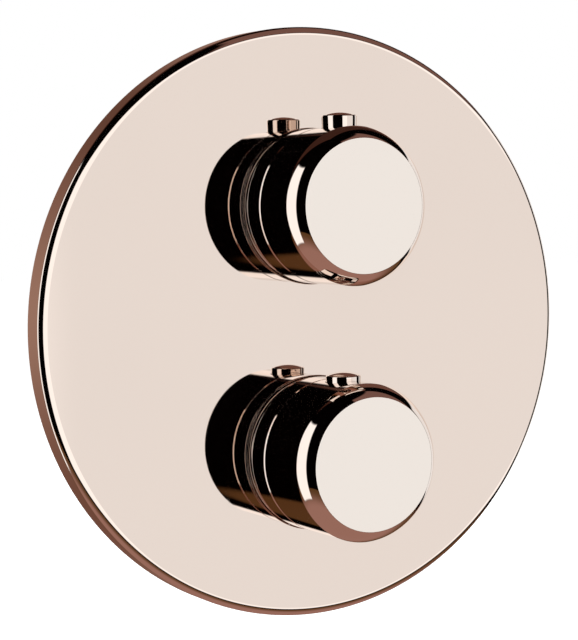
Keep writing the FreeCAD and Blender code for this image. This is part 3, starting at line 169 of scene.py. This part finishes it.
def corner(before, point, after, reach_before, reach_after, count=9):
    """A rounded corner of a profile: from reach_before in front of the point to reach_after behind it, on the
    arc P + a ra (1 - sin u) + b rb (1 - cos u), a and b pointing to the neighbours, u from 0 to 90 degrees.
    One more point stands just outside each end and keeps the flats flat."""
    before, point, after = (np.array(spot, float) for spot in (before, point, after))
    a, b = (before - point), (after - point)
    a, b = a / np.linalg.norm(a), b / np.linalg.norm(b)
    u = np.linspace(0, math.pi / 2, count)[:, None]
    arc = point + a * reach_before * (1 - np.sin(u)) + b * reach_after * (1 - np.cos(u))
    first, last = point + a * (reach_before + FLAT_GUARD), point + b * (reach_after + FLAT_GUARD)
    return np.vstack([first, arc, last])


def outline(*points):
    """A profile of (radius, station, reach): each point with a reach is rounded evenly over that length."""
    parts = []
    for number, point in enumerate(points):
        if len(point) == 2:
            parts.append([point])
        else:
            before, after = points[number - 1], points[(number + 1) % len(points)]
            parts.append(corner(before[:2], point[:2], after[:2], point[2], point[2]))
    return np.vstack(parts)


def grid_faces(rows, columns, close_rows=False, close_columns=False):
    """Four-cornered faces over a grid of points numbered row by row."""
    row = np.arange(rows if close_rows else rows - 1)[:, None]
    column = np.arange(columns if close_columns else columns - 1)[None, :]
    next_row, next_column = (row + 1) % rows, (column + 1) % columns
    corners = (
        row * columns + column, next_row * columns + column,
        next_row * columns + next_column, row * columns + next_column,
    )
    return np.stack(np.broadcast_arrays(*corners), -1).reshape(-1, 4)


def piece(name, patches, sharp=35):
    """One closed mesh from patches (points, faces): points in one place are merged, faces turned outwards,
    and edges sharper than the angle in degrees stay crisp."""
    start_index, points, faces = 0, [], []
    for patch_points, patch_faces in patches:
        points.append(patch_points.reshape(-1, 3))
        faces.append(patch_faces + start_index)
        start_index += len(points[-1])
    points, faces = np.vstack(points), np.vstack(faces)
    cells = np.round(points / MERGE_GRID)
    first, where = np.unique(cells, axis=0, return_index=True, return_inverse=True)[1:]
    points, faces = points[first], where.reshape(-1)[faces]
    kept = faces != np.roll(faces, 1, axis=1)
    corners = [face[keep].tolist() for face, keep in zip(faces, kept) if keep.sum() > 2]
    mesh = bpy.data.meshes.new(name)
    mesh.from_pydata(points, [], corners)
    made = bpy.data.objects.new(name, mesh)
    bpy.context.scene.collection.objects.link(made)
    finish_mesh(mesh, sharp)
    return made


def finish_mesh(mesh, sharp):
    """All faces turned outwards, with smooth shading between edges sharper than the angle in degrees."""
    work = bmesh.new()
    work.from_mesh(mesh)
    bmesh.ops.recalc_face_normals(work, faces=work.faces)
    work.to_mesh(mesh)
    work.free()
    mesh.polygons.foreach_set("use_smooth", np.ones(len(mesh.polygons), bool))
    mesh.set_sharp_from_angle(angle=math.radians(sharp))
    mesh.update()


def turned(profile, height, count=360, closed=True):
    """A profile of (radius, station) carried round a spindle: x = r sin t, y = station, z = h + r cos t."""
    angle = np.linspace(0, 2 * math.pi, count, endpoint=False)[None, :]
    radius, station = profile[:, :1], profile[:, 1:]
    points = np.stack([radius * np.sin(angle), station + 0 * angle, height + radius * np.cos(angle)], -1)
    return points, grid_faces(len(profile), count, closed, True)


plate_low, plate_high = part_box("face_plate")
plate_radius, plate_front, plate_rear = plate_high.x, plate_low.y, plate_high.y
upper_axis, lower_axis = (
    (low.z + high.z) / 2 for low, high in (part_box("flow_knob"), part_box("temperature_knob"))
)
sleeve_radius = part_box("upper_sleeve")[1].x
PLATE_FACE, RIM_WALL, HOLE_GAP = 0.0024, 0.0022, 0.00015
COLLAR_WALL, COLLAR_LENGTH, SEAL_WIDTH, SEAL_DEPTH = 0.0036, 0.0054, 0.00206, 0.00188
ROLL_ACROSS, ROLL_DEEP, LIP = 0.0030, 0.0016, 0.0003
INNER_ROUND, RIM_ROUND, REAR_ROUND, FLAT_END, LIP_GUARD = 0.001, 0.0003, 0.0004, 0.0005, 5e-5
ROSE_GOLD = (0.80, 0.69, 0.62, 1.0)

plate_inside = plate_front + PLATE_FACE
rim_inside = plate_radius - RIM_WALL
hole_radius = sleeve_radius + HOLE_GAP
flat_radius = plate_radius - ROLL_ACROSS - FLAT_END


def halves(radius, height, station, edge_radius, columns=120):
    """The flat disc around one hole, out to the plate's middle line: straight lines from the hole's edge to
    the border of that half disc, which is a chord and an arc; P = (1 - v) hole(u) + v border(u)."""
    side = 1 if height > 0 else -1
    rows, quarter = 14, math.pi / 2
    chord = np.linspace(-edge_radius, edge_radius, columns, endpoint=False)
    arc = np.linspace(quarter, -quarter, 181)[:-1]
    border = np.vstack([
        np.column_stack([chord, 0 * chord]),
        np.column_stack([edge_radius * np.sin(arc), side * edge_radius * np.cos(arc)]),
    ])
    outwards = border - np.array([0, height])
    hole = np.array([0, height]) + radius * outwards / np.linalg.norm(outwards, axis=1)[:, None]
    v = np.linspace(0, 1, rows)[:, None, None]
    flat = (1 - v) * hole + v * border
    points = np.stack([flat[..., 0], np.full(flat.shape[:2], station), flat[..., 1]], -1)
    return points, grid_faces(rows, len(border), False, True), hole


def hole_wall(profile, height, hole):
    """A profile of (radius, station) carried round a hole in the directions d of the flat's points: the
    hole's centre + r d, at the profile's station."""
    outwards = hole - np.array([0, height])
    outwards = outwards / np.linalg.norm(outwards, axis=1)[:, None]
    radius = profile[:, :1]
    points = np.stack([
        radius * outwards[None, :, 0], profile[:, 1:] + 0 * outwards[None, :, 0],
        height + radius * outwards[None, :, 1],
    ], -1)
    return points, grid_faces(len(profile), len(hole), False, True)


collar_outside, collar_end = hole_radius + COLLAR_WALL, plate_inside + COLLAR_LENGTH
groove_low = (plate_inside + collar_end - SEAL_WIDTH) / 2
groove_high, groove_radius = groove_low + SEAL_WIDTH, hole_radius + SEAL_DEPTH
inner_corner, lip_corner = (rim_inside, plate_inside), (rim_inside, plate_rear)
rear_corner, front_corner = (plate_radius, plate_rear), (plate_radius, plate_front)
rim = np.vstack([
    [[flat_radius, plate_inside]],
    corner((0, plate_inside), inner_corner, lip_corner, INNER_ROUND, INNER_ROUND, 5),
    corner(inner_corner, lip_corner, (1, plate_rear), RIM_ROUND, RIM_ROUND, 5),
    corner((0, plate_rear), rear_corner, front_corner, REAR_ROUND, REAR_ROUND, 7),
    corner(rear_corner, front_corner, (0, plate_front), ROLL_DEEP, ROLL_ACROSS, 25),
    [[flat_radius, plate_front]],
])
plate_patches = [turned(rim, 0.0, 360, closed=False)]
for height in (upper_axis, lower_axis):
    *front_patch, front_hole = halves(hole_radius + LIP + LIP_GUARD, height, plate_front, flat_radius)
    inner_patch = halves(collar_outside + FLAT_END, height, plate_inside, flat_radius)[:2]
    lip_point, bore_point = (hole_radius, plate_front), (hole_radius, plate_inside)
    front_edge = corner((1, plate_front), lip_point, bore_point, LIP, LIP, 7)
    bore = np.vstack([
        [[hole_radius + LIP + LIP_GUARD, plate_front]], front_edge[1:],
        [
            [hole_radius, groove_low], [groove_radius, groove_low],
            [groove_radius, groove_high], [hole_radius, groove_high],
            [hole_radius, collar_end], [collar_outside, collar_end],
            [collar_outside, plate_inside + FLAT_END], [collar_outside + FLAT_END, plate_inside],
        ],
    ])
    plate_patches += [tuple(front_patch), inner_patch, hole_wall(bore, height, front_hole)]
cover = piece("cover_plate", plate_patches)
cover.data.materials.append(rose_gold("mirror_rose_gold", ROSE_GOLD))
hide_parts("face_plate")
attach(cover, "valve")

# ----------------------------------------------------------------------------------------------------
# Sleeves: drawn brass tubes screwed on the body's necks, standing a little out of the plate. A shallow bevel
# breaks the edge that faces the knob.
# ----------------------------------------------------------------------------------------------------

SLEEVE_WALL, SLEEVE_SHOULDER, SLEEVE_GRIP = 0.0016, 0.0036, 0.0120
BEVEL_LENGTH, BEVEL_DROP, TUBE_ROUND = 0.0006, 0.00025, 0.0003

sleeve_finish = rose_gold("turned_rose_gold_sleeve", ROSE_GOLD)
for name, height in (("upper_sleeve", upper_axis), ("lower_sleeve", lower_axis)):
    sleeve_low, sleeve_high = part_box(name)
    front, rear = sleeve_low.y, sleeve_high.y
    inside, root, shoulder = sleeve_radius - SLEEVE_WALL, sleeve_radius - SLEEVE_SHOULDER, rear - SLEEVE_GRIP
    shell = outline(
        (root, rear, TUBE_ROUND), (sleeve_radius, rear, TUBE_ROUND),
        (sleeve_radius, front + BEVEL_LENGTH, 0.0001), (sleeve_radius - BEVEL_DROP, front, 0.00012),
        (inside, front, 0.0002), (inside, shoulder, TUBE_ROUND), (root, shoulder, TUBE_ROUND),
    )
    tube = piece(name + "_tube", [turned(shell, height)])
    tube.data.materials.append(sleeve_finish)
    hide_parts(name)
    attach(tube, "valve")

# ----------------------------------------------------------------------------------------------------
# Knobs: cups turned from brass bar, with a flat face inside a bowed nose ring and a fine line cut round the
# skirt. A hole above lets the button through, and one below reaches the set screw. Coated as the plate.
# ----------------------------------------------------------------------------------------------------

KNOB_WALL, KNOB_FRONT, FACE_RADIUS, NOSE_LENGTH, NOSE_CURVE = 0.0023, 0.0034, 0.0220, 0.0055, 0.0105
LINE_PLACE, LINE_LENGTH, LINE_DEPTH = 0.0089, 0.0009, 0.00045
BUTTON_STATION, BUTTON_HOLE, SCREW_STATION, SCREW_HOLE = 0.0189, 0.0060, 0.0216, 0.0025
HOLE_FROM, HOLE_TO, FLOOR_ROUND, RIM_EDGE, CREASE_ANGLE = 0.018, 0.030, 0.0008, 0.0002, 35
# Paler colour painted on each knob's flat face: a painted highlight on the same coating as the plate.
FACE_PAINTED_HIGHLIGHT = (0.86, 0.79, 0.73, 1.0)


def bow(start_point, end_point, curve, count=40):
    """An arc of a given curve radius between two profile points, bulging away from the axis and the wall:
    centre + curve (cos a, sin a), a running evenly from one point to the other."""
    a, b = np.array(start_point), np.array(end_point)
    chord = b - a
    across = np.array([chord[1], -chord[0]]) / np.linalg.norm(chord)
    across = across if across[0] < 0 else -across
    centre = (a + b) / 2 + across * math.sqrt(curve ** 2 - (chord @ chord) / 4)
    first, last = (math.atan2(*(point - centre)[::-1]) for point in (a, b))
    angle = np.linspace(first, last, count)[:, None]
    return centre + curve * np.hstack([np.cos(angle), np.sin(angle)])


def upright_rod(radius, y, low, high, count=128):
    """A closed rod parallel to Z, as a profile (0, low), (r, low), (r, high), (0, high) carried round it."""
    angle = np.linspace(0, 2 * math.pi, count, endpoint=False)[None, :]
    profile = np.array([[0, low], [radius, low], [radius, high], [0, high]])
    points = np.stack([
        profile[:, :1] * np.sin(angle), y + profile[:, :1] * np.cos(angle), profile[:, 1:] + 0 * angle,
    ], -1)
    return points, grid_faces(4, count, False, True)


def bored(body, cutters, sharp):
    """Takes the cutters out of a piece, by an exact boolean whose result becomes the piece's mesh."""
    for cutter in cutters:
        hole = body.modifiers.new("hole", "BOOLEAN")
        hole.operation, hole.solver, hole.object = "DIFFERENCE", "EXACT", cutter
    graph = bpy.context.evaluated_depsgraph_get()
    mesh = bpy.data.meshes.new_from_object(body.evaluated_get(graph))
    body.modifiers.clear()
    body.data = mesh
    for cutter in cutters:
        bpy.data.objects.remove(cutter)
    finish_mesh(mesh, sharp)


for name, height, body in (
    ("flow_knob", upper_axis, "flow_handle"), ("temperature_knob", lower_axis, "temperature_handle"),
):
    knob_low, knob_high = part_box(name)
    knob_radius, front, rear = knob_high.x, knob_low.y, knob_high.y
    line, inside, floor = rear - LINE_PLACE, knob_radius - KNOB_WALL, front + KNOB_FRONT
    nose = bow((knob_radius, front + NOSE_LENGTH), (FACE_RADIUS, front), NOSE_CURVE)
    skirt = outline(
        (0, floor), (inside, floor, FLOOR_ROUND), (inside, rear, RIM_EDGE), (knob_radius, rear, RIM_EDGE),
        (knob_radius, line + LINE_LENGTH, 0.0001), (knob_radius - LINE_DEPTH, line, 0.00004),
        (knob_radius, line, 0.00005), (knob_radius, front + NOSE_LENGTH + 0.0001),
    )
    face = [[FACE_RADIUS - 0.0001, front], [FACE_RADIUS - 0.0004, front], [0, front]]
    knob = piece(name + "_cup", [turned(np.vstack([skirt, nose, face]), height, 384)])
    button_y, screw_y = plate_front - BUTTON_STATION, plate_front - SCREW_STATION
    cutters = [
        piece("button_hole", [upright_rod(BUTTON_HOLE, button_y, height + HOLE_FROM, height + HOLE_TO)]),
        piece("screw_hole", [upright_rod(SCREW_HOLE, screw_y, height - HOLE_TO, height - HOLE_FROM)]),
    ]
    bored(knob, cutters, CREASE_ANGLE)
    knob.data.materials.clear()
    # The knob's material paints its flat face paler, a painted highlight.
    knob.data.materials.append(
        rose_gold(name + "_rose_gold", ROSE_GOLD, (height, front, FACE_RADIUS, FACE_PAINTED_HIGHLIGHT))
    )
    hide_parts(name)
    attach(knob, body)

# ----------------------------------------------------------------------------------------------------
# Override buttons: turned brass studs with a domed head, coated as the knobs. The stem carries a snap ring
# under the carrier's ledge, and its foot points at the wall to meet the teeth of the stop ring.
# ----------------------------------------------------------------------------------------------------

HEAD_RADIUS, DOME, HEAD_SEAT, STEM_RADIUS, CLIP_DEPTH = 0.00585, 0.0012, 0.0042, 0.0022, 0.00045
CLIP_LOW, CLIP_HIGH, FOOT_HALF, FOOT_HEIGHT, FOOT_REACH = 0.00177, 0.00233, 0.0006, 0.0016, 0.0064
HEAD_ROUND, DOME_START = 0.0004, 0.00045


def slab(half, low, high, start_y, end_y, count=48):
    """A bar along Y whose section is a rounded rectangle, x = a sgn(c) |c|^(1/3), z = b sgn(s) |s|^(1/3)."""
    angle = np.linspace(0, 2 * math.pi, count, endpoint=False)
    wide, tall = (np.sign(part) * np.abs(part) ** (1 / 3) for part in (np.cos(angle), np.sin(angle)))
    section = np.stack([half * wide, (high - low) / 2 * tall], -1)
    size = np.array([0.0, 1.0, 1.0, 0.0])[:, None]
    place = np.array([start_y, start_y, end_y, end_y])[:, None] + 0 * angle
    points = np.stack([size * section[:, 0], place, (low + high) / 2 + size * section[:, 1]], -1)
    return points, grid_faces(4, count, False, True)


def stud(profile, y, count=192):
    """A profile of (radius, height) carried round an upright axis at y: x = r sin t, y + r cos t."""
    angle = np.linspace(0, 2 * math.pi, count, endpoint=False)[None, :]
    points = np.stack([
        profile[:, :1] * np.sin(angle), y + profile[:, :1] * np.cos(angle), profile[:, 1:] + 0 * angle,
    ], -1)
    return points, grid_faces(len(profile), count, False, True)


dome_curve = (HEAD_RADIUS ** 2 + DOME ** 2) / (2 * DOME)
for name, axis, body in (
    ("flow_button", upper_axis, "flow_push"), ("temperature_button", lower_axis, "temperature_push"),
):
    button_low, button_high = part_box(name)
    foot, side_top, underside = button_low.z, button_high.z - DOME, axis + knob_radius - HEAD_SEAT
    clip_root, clip_low, clip_high = STEM_RADIUS - CLIP_DEPTH, foot + CLIP_LOW, foot + CLIP_HIGH
    rise = np.linspace(1.0, 0.0, 20)[:-1, None]
    reach = (HEAD_RADIUS - DOME_START) * rise
    dome = np.hstack([reach, side_top + DOME - dome_curve + np.sqrt(dome_curve ** 2 - reach ** 2)])
    shank = outline(
        (0, foot), (STEM_RADIUS, foot, 0.0001), (STEM_RADIUS, clip_low), (clip_root, clip_low),
        (clip_root, clip_high), (STEM_RADIUS, clip_high), (STEM_RADIUS, underside),
        (HEAD_RADIUS, underside, 0.0003),
    )
    shoulder = (HEAD_RADIUS, side_top + 0.0001)
    edge = corner((HEAD_RADIUS, underside), shoulder, dome[0], HEAD_ROUND, HEAD_ROUND)
    profile = np.vstack([shank, edge, dome, [[0, side_top + DOME]]])
    head = piece(name + "_stud", [
        stud(profile, button_y), slab(FOOT_HALF, foot, foot + FOOT_HEIGHT, button_y, button_y + FOOT_REACH),
    ])
    head.data.materials.append(rose_gold(name + "_rose_gold", ROSE_GOLD))
    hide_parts(name)
    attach(head, body)

# ----------------------------------------------------------------------------------------------------
# Steel: drawn spring wire, stamped snap rings, set screws, and the bracket with its screws, which are zinc
# plated. Wire shows its drawing marks, plated sheet a fine crystalline bloom.
# ----------------------------------------------------------------------------------------------------


def steel(name, colour, gloss):
    """Drawn or plated steel: cloudy bloom in colour and gloss, and fine marks along Z."""
    place, feed = start(name, Metallic=1.0)
    bloom = place.noise(160.0, 5.0)
    marks = place.noise(1800.0, 2.0, (1.0, 1.0, 0.15))
    tint, roughness = bloom.mix(shade(colour, 0.86), colour), bloom * 0.16 + marks * 0.08 + gloss
    return feed(Base_Color=tint, Roughness=roughness, Normal=marks.bump(0.25, 0.00005))


def dress(material, *names):
    """CAD nodes whose shape is right keep it and take this material."""
    for name in names:
        slots = cad_nodes[name].data.materials
        slots.clear()
        slots.append(material)


JOIN_REACH, FLAT_ANGLE, JOINED_CREASE = 2e-6, 0.3, 30


def joined(node, material):
    """A copy of a CAD node in this material, with its loose triangles joined, so that round surfaces shade
    smoothly and flat ones stay flat."""
    mesh = cad_nodes[node].data.copy()
    mesh.materials.clear()
    mesh.materials.append(material)
    work = bmesh.new()
    work.from_mesh(mesh)
    bmesh.ops.remove_doubles(work, verts=work.verts, dist=JOIN_REACH)
    flat_angle = math.radians(FLAT_ANGLE)
    bmesh.ops.dissolve_limit(work, angle_limit=flat_angle, verts=work.verts, edges=work.edges)
    work.to_mesh(mesh)
    work.free()
    made = bpy.data.objects.new(node + "_finished", mesh)
    bpy.context.scene.collection.objects.link(made)
    finish_mesh(mesh, JOINED_CREASE)
    weighted = made.modifiers.new("flats", "WEIGHTED_NORMAL")
    weighted.keep_sharp = True
    return made


spring_steel = steel("drawn_spring_steel", (0.56, 0.57, 0.58, 1.0), 0.18)
zinc_plate = steel("zinc_plated_steel", (0.62, 0.65, 0.69, 1.0), 0.26)
black_steel = steel("blackened_screw_steel", (0.10, 0.10, 0.105, 1.0), 0.30)
dress(
    spring_steel, "flow_button_spring", "temperature_button_spring", "flow_button_clip",
    "temperature_button_clip", "overload_spring", "overload_clip", "return_spring", "hot_check_spring",
    "cold_check_spring",
)
dress(zinc_plate, "overload_washer", "hot_strainer", "cold_strainer")
dress(black_steel, "flow_grub_screw", "temperature_grub_screw")
for name in ("mounting_bracket", "bracket_screws"):
    plated = joined(name, zinc_plate)
    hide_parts(name)
    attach(plated, "valve")

# ----------------------------------------------------------------------------------------------------
# Seals: moulded rubber O-rings and port seal, and the die-cut foam gasket that the plate presses on the
# wall. Rubber has a dull bloom and a fine moulded grain, the foam small pits.
# ----------------------------------------------------------------------------------------------------


def rubber(name, colour):
    """Moulded rubber: a greyish bloom over near-black, with a fine grain in the surface."""
    place, feed = start(name, Specular_IOR_Level=0.35)
    bloom, grain = place.noise(320.0, 4.0), place.noise(4200.0)
    tint, roughness = bloom.mix(colour, shade(colour, 2.2)), bloom * 0.2 + 0.5
    return feed(Base_Color=tint, Roughness=roughness, Normal=grain.bump(0.3, 0.00006))


def foam(name, colour):
    """Closed-cell foam: pits where a cell pattern is near its cell middles, darkened inside by painted shade.
    """
    place, feed = start(name, Specular_IOR_Level=0.2)
    cells = place.node("ShaderNodeTexVoronoi", None, {"Vector": place, "Scale": 1400.0})
    wall = cells.fade(0.15, 0.6)
    # Painted shade: the pits' colour falls to 0.45 of the foam's where the cell walls sink away.
    tint, roughness = wall.mix(shade(colour, 0.45), colour), 0.95 - wall * 0.08
    return feed(Base_Color=tint, Roughness=roughness, Normal=wall.bump(0.6, 0.0002))


seal_rubber = rubber("moulded_seal_rubber", (0.018, 0.018, 0.019, 1.0))
dress(
    seal_rubber, "flow_spindle_seals", "flow_port_seal", "flow_housing_seal", "thermostat_spindle_seals",
    "shuttle_seal", "thermostat_housing_seals",
)
for name, material, slot in (
    ("plate_gasket", foam("die_cut_gasket_foam", (0.055, 0.055, 0.058, 1.0)), "foam"),
    ("sleeve_seals", seal_rubber, "black_rubber"), ("connector_seals", seal_rubber, "black_rubber"),
):
    seal = joined(name, material)
    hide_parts(name)
    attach(seal, "valve")

# ----------------------------------------------------------------------------------------------------
# Moulded plastic and ceramic: carriers and stop rings in acetal and glass-filled nylon, the cartridges'
# moulded pieces, non-return valves, and the two lapped ceramic discs.
# ----------------------------------------------------------------------------------------------------


def moulded(name, colour, gloss, grain):
    """Injection-moulded plastic: slow flow marks in colour and gloss over a fine spark-eroded grain."""
    place, feed = start(name, Specular_IOR_Level=0.5)
    flow, sparks = place.noise(45.0, 3.0, (1.0, 1.0, 0.4)), place.noise(5200.0)
    tint, roughness = flow.mix(shade(colour, 0.9), colour), flow * 0.12 + gloss
    return feed(Base_Color=tint, Roughness=roughness, Normal=sparks.bump(grain, 0.00005))


white_acetal = moulded("white_acetal", (0.74, 0.73, 0.69, 1.0), 0.32, 0.25)
grey_nylon = moulded("glass_filled_grey_nylon", (0.16, 0.165, 0.17, 1.0), 0.42, 0.5)
lapped_ceramic = moulded("lapped_ceramic", (0.50, 0.49, 0.47, 1.0), 0.08, 0.03)
dress(
    white_acetal, "flow_insert", "temperature_insert", "flow_thrust_washer", "thermostat_thrust_washer",
    "thermostat_shuttle", "hot_check_poppet", "cold_check_poppet",
)
dress(
    grey_nylon, "flow_stop_ring", "temperature_stop_ring", "flow_driver", "thermostat_end_cap",
    "hot_check_housing", "cold_check_housing",
)
dress(lapped_ceramic, "flow_moving_disc", "flow_fixed_disc")

# ----------------------------------------------------------------------------------------------------
# Valve body: brass, cast in sand and machined where cartridges and connectors sit. The cast skin is matt and
# grainy with clouds of tarnish, and the threaded necks are bright.
# ----------------------------------------------------------------------------------------------------

CAST_BRASS, BRIGHT_BRASS = (0.52, 0.37, 0.17, 1.0), (0.78, 0.60, 0.31, 1.0)
BARREL_FRONT, NECK_BLEND, THREAD_PHASE = -0.060, 0.0001, 3141.6


def cast_brass(name):
    """Sand-cast brass: grain of about a millimetre in bump and gloss, tarnish in slow clouds, and a bright
    turned zone on the necks, in front of the barrels, with threads 2 mm apart as sin(3141.6 y)."""
    place, feed = start(name, Metallic=1.0)
    y = place.split()[1]
    neck = y.fade(BARREL_FRONT + NECK_BLEND, BARREL_FRONT - NECK_BLEND)
    grain = place.noise(1100.0, 4.0)
    tarnish = place.noise(28.0, 4.0).fade(0.35, 0.7)
    tint = neck.mix(tarnish.mix(CAST_BRASS, shade(CAST_BRASS, 0.62)), BRIGHT_BRASS)
    threads = y.math("SINE", y * THREAD_PHASE) * neck
    height = grain * (1 - neck) * 1.2 + threads * 0.9
    roughness = (grain * 0.25 + tarnish * 0.15 + 0.32) * (1 - neck) + neck * 0.22
    return feed(Base_Color=tint, Roughness=roughness, Normal=height.bump(0.6, 0.00016))


casting = joined("valve_body", cast_brass("sand_cast_brass"))
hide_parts("valve_body")
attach(casting, "valve")

# ----------------------------------------------------------------------------------------------------
# Turned brass: connectors with hexagons for the spanner, cartridge housings, nuts and spindles, and the
# copper cup of the wax element. All keep fine tool marks.
# ----------------------------------------------------------------------------------------------------


def turned_metal(name, colour, gloss):
    """Metal as it leaves the lathe: fine tool marks, a slow tarnish and slightly duller patches."""
    place, feed = start(name, Metallic=1.0)
    tarnish = place.noise(60.0, 4.0).fade(0.35, 0.75)
    marks = place.noise(3200.0, 2.0, (0.25, 1.0, 1.0))
    tint, roughness = tarnish.mix(colour, shade(colour, 0.8)), tarnish * 0.14 + marks * 0.06 + gloss
    return feed(Base_Color=tint, Roughness=roughness, Normal=marks.bump(0.2, 0.00004))


turned_brass = turned_metal("turned_brass", BRIGHT_BRASS, 0.18)
dress(
    turned_brass, "flow_cartridge_nut", "flow_housing", "flow_spindle", "thermostat_nut",
    "thermostat_housing", "thermostat_spindle", "regulating_nut",
)
dress(turned_metal("drawn_copper", (0.80, 0.42, 0.30, 1.0), 0.22), "wax_element")
for name in ("hot_inlet", "cold_inlet", "upper_outlet", "lower_outlet"):
    connector = joined(name, turned_brass)
    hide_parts(name)
    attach(connector, "valve")

# ----------------------------------------------------------------------------------------------------
# Studio: a white room seen by the camera, a pale floor under the part, and soft light. The mirror metal sees
# a white panel in front, a tall strip light to the left, a lower one to the right, black flags between them,
# and brown behind, below and in part overhead. Directions are in degrees, turned from the front (-Y) to the
# right (+X) and lifted from the level.
# ----------------------------------------------------------------------------------------------------

FLOOR_HEIGHT, FLOOR_HALF = -0.26, 6.0
PALE, WHITE, ROOM = (0.985, 0.985, 0.985, 1), (1, 1, 1, 1), (1.05, 1.05, 1.05, 1)
FLAG, CEILING = (0.0006, 0.0002, 0.0002, 1), (0.20, 0.105, 0.085, 1)
WALL_LEVEL, WALL_AWAY, WALL_HIGH = (0.38, 0.226, 0.173, 1), (0.15, 0.06, 0.038, 1), (0.05, 0.02, 0.014, 1)
CARPET_FAR, CARPET_NEAR = (0.12, 0.058, 0.022, 1), (0.38, 0.204, 0.165, 1)
GLOW, STRIP_POWER = 0.32, 1.3

floor_mesh = bpy.data.meshes.new("floor")
across = np.linspace(-FLOOR_HALF, FLOOR_HALF, 3)
floor_points = np.stack(np.meshgrid(across, across, [FLOOR_HEIGHT], indexing="ij"), -1).reshape(-1, 3)
floor_mesh.from_pydata(floor_points, [], grid_faces(3, 3).tolist())
floor = bpy.data.objects.new("floor", floor_mesh)
bpy.context.scene.collection.objects.link(floor)
floor.visible_glossy = False
place, feed = start("pale_floor", Roughness=0.9, Specular_IOR_Level=0.1)
floor_mesh.materials.append(feed(Base_Color=place.noise(2.0).mix(PALE, WHITE)))

world = bpy.data.worlds.new("studio")
bpy.context.scene.world = world
world.use_nodes = True
tree = world.node_tree
background = tree.nodes["Background"]
direction = Field(tree, tree.nodes.new("ShaderNodeTexCoord").outputs["Generated"])
x, y, z = direction.split()
turn = direction.math("ARCTAN2", x, y * -1.0) * (180 / math.pi)
lift = direction.math("ARCSINE", z) * (180 / math.pi)
level = lift.math("ABSOLUTE", lift)


def band(value, low, high, soft):
    """1 between low and high degrees, fading to 0 over soft degrees outside."""
    return value.fade(low - soft, low) * value.fade(high + soft, high)


panel = band(turn, -8.0, 66.0, 3.0) * band(lift, -22.0, 19.0, 2.5)
edges = lift.fade(8.0, 12.0) + lift.fade(-14.0, -17.0)
glow = 1.0 + edges.math("MAXIMUM", edges, band(turn, -8.0, 20.0, 3.0)) * GLOW
strip = band(turn, -113.0, -75.0, 3.0) * band(lift, -40.0, 44.0, 4.0)
edge_strip = band(turn, 94.0, 125.0, 3.0) * band(level, -1.0, 19.0, 3.0)
behind = turn.math("ABSOLUTE", turn).fade(118.0, 126.0)
overhead = band(turn, 22.0, 85.0, 4.0) * band(lift, 25.0, 62.0, 4.0)
wall = lift.fade(18.0, 34.0).mix(level.fade(0.0, 32.0).mix(WALL_LEVEL, WALL_AWAY), WALL_HIGH)
carpet = lift.fade(-29.0, -52.0).mix(CARPET_FAR, CARPET_NEAR)
dark = lift.fade(-27.5, -29.0).mix(behind.mix(overhead.mix(FLAG, CEILING), wall), carpet)
lit = panel * glow + strip * STRIP_POWER + edge_strip
white = direction.node("ShaderNodeVectorMath", {"operation": "SCALE"}, {0: (1.0, 1.0, 1.0), "Scale": lit})
shown = panel.math("MAXIMUM", panel, strip)
mirrored = shown.math("MAXIMUM", shown, edge_strip).mix(dark, white)
light_path = tree.nodes.new("ShaderNodeLightPath")
camera_ray, glossy_ray, through_ray = (
    Field(tree, light_path.outputs[name])
    for name in ("Is Camera Ray", "Is Glossy Ray", "Is Transmission Ray")
)
seen = camera_ray.math("MAXIMUM", camera_ray, through_ray).mix(glossy_ray.mix(ROOM, mirrored), WHITE)
tree.links.new(seen.output, background.inputs["Color"])

for label, place, size, power in (
    ("key_light", (-0.9, -1.5, 1.5), 1.4, 22.0), ("fill_light", (1.3, -1.2, 0.8), 1.2, 9.0),
    ("back_light", (0.3, 1.5, 1.0), 1.2, 9.0),
):
    lamp = bpy.data.lights.new(label, "AREA")
    lamp.size, lamp.energy = size, power
    light = bpy.data.objects.new(label, lamp)
    light.location = place
    light.rotation_euler = (-Vector(place)).to_track_quat("-Z", "Y").to_euler()
    light.visible_glossy = False
    bpy.context.scene.collection.objects.link(light)

# ----------------------------------------------------------------------------------------------------
# Camera: where the photograph was taken from, a long lens 0.74 m away, from the left and slightly above, a
# little rolled. Its rows are its right, up and backward directions.
# ----------------------------------------------------------------------------------------------------

CAMERA_PLACE = (-0.32759, -0.66335, 0.04468)
YAW, PITCH, ROLL = math.radians(29.16), math.radians(-3.78), math.radians(-0.99)
FOCAL_PIXELS, LONG_SIDE, SENSOR = 1938.79, 640, 36.0

ahead = Vector((math.sin(YAW) * math.cos(PITCH), math.cos(YAW) * math.cos(PITCH), math.sin(PITCH)))
level_right = Vector((math.cos(YAW), -math.sin(YAW), 0))
level_up = level_right.cross(ahead)
right = math.cos(ROLL) * level_right + math.sin(ROLL) * level_up
up = math.cos(ROLL) * level_up - math.sin(ROLL) * level_right
lens = bpy.data.cameras.new("camera")
lens.sensor_width, lens.lens = SENSOR, FOCAL_PIXELS / LONG_SIDE * SENSOR
lens.clip_start, lens.clip_end = 0.01, 50.0
camera = bpy.data.objects.new("camera", lens)
camera.matrix_world = Matrix.Translation(CAMERA_PLACE) @ Matrix((right, up, -ahead)).transposed().to_4x4()
bpy.context.scene.collection.objects.link(camera)
bpy.context.scene.camera = camera
bpy.context.scene.view_settings.view_transform = "Standard"
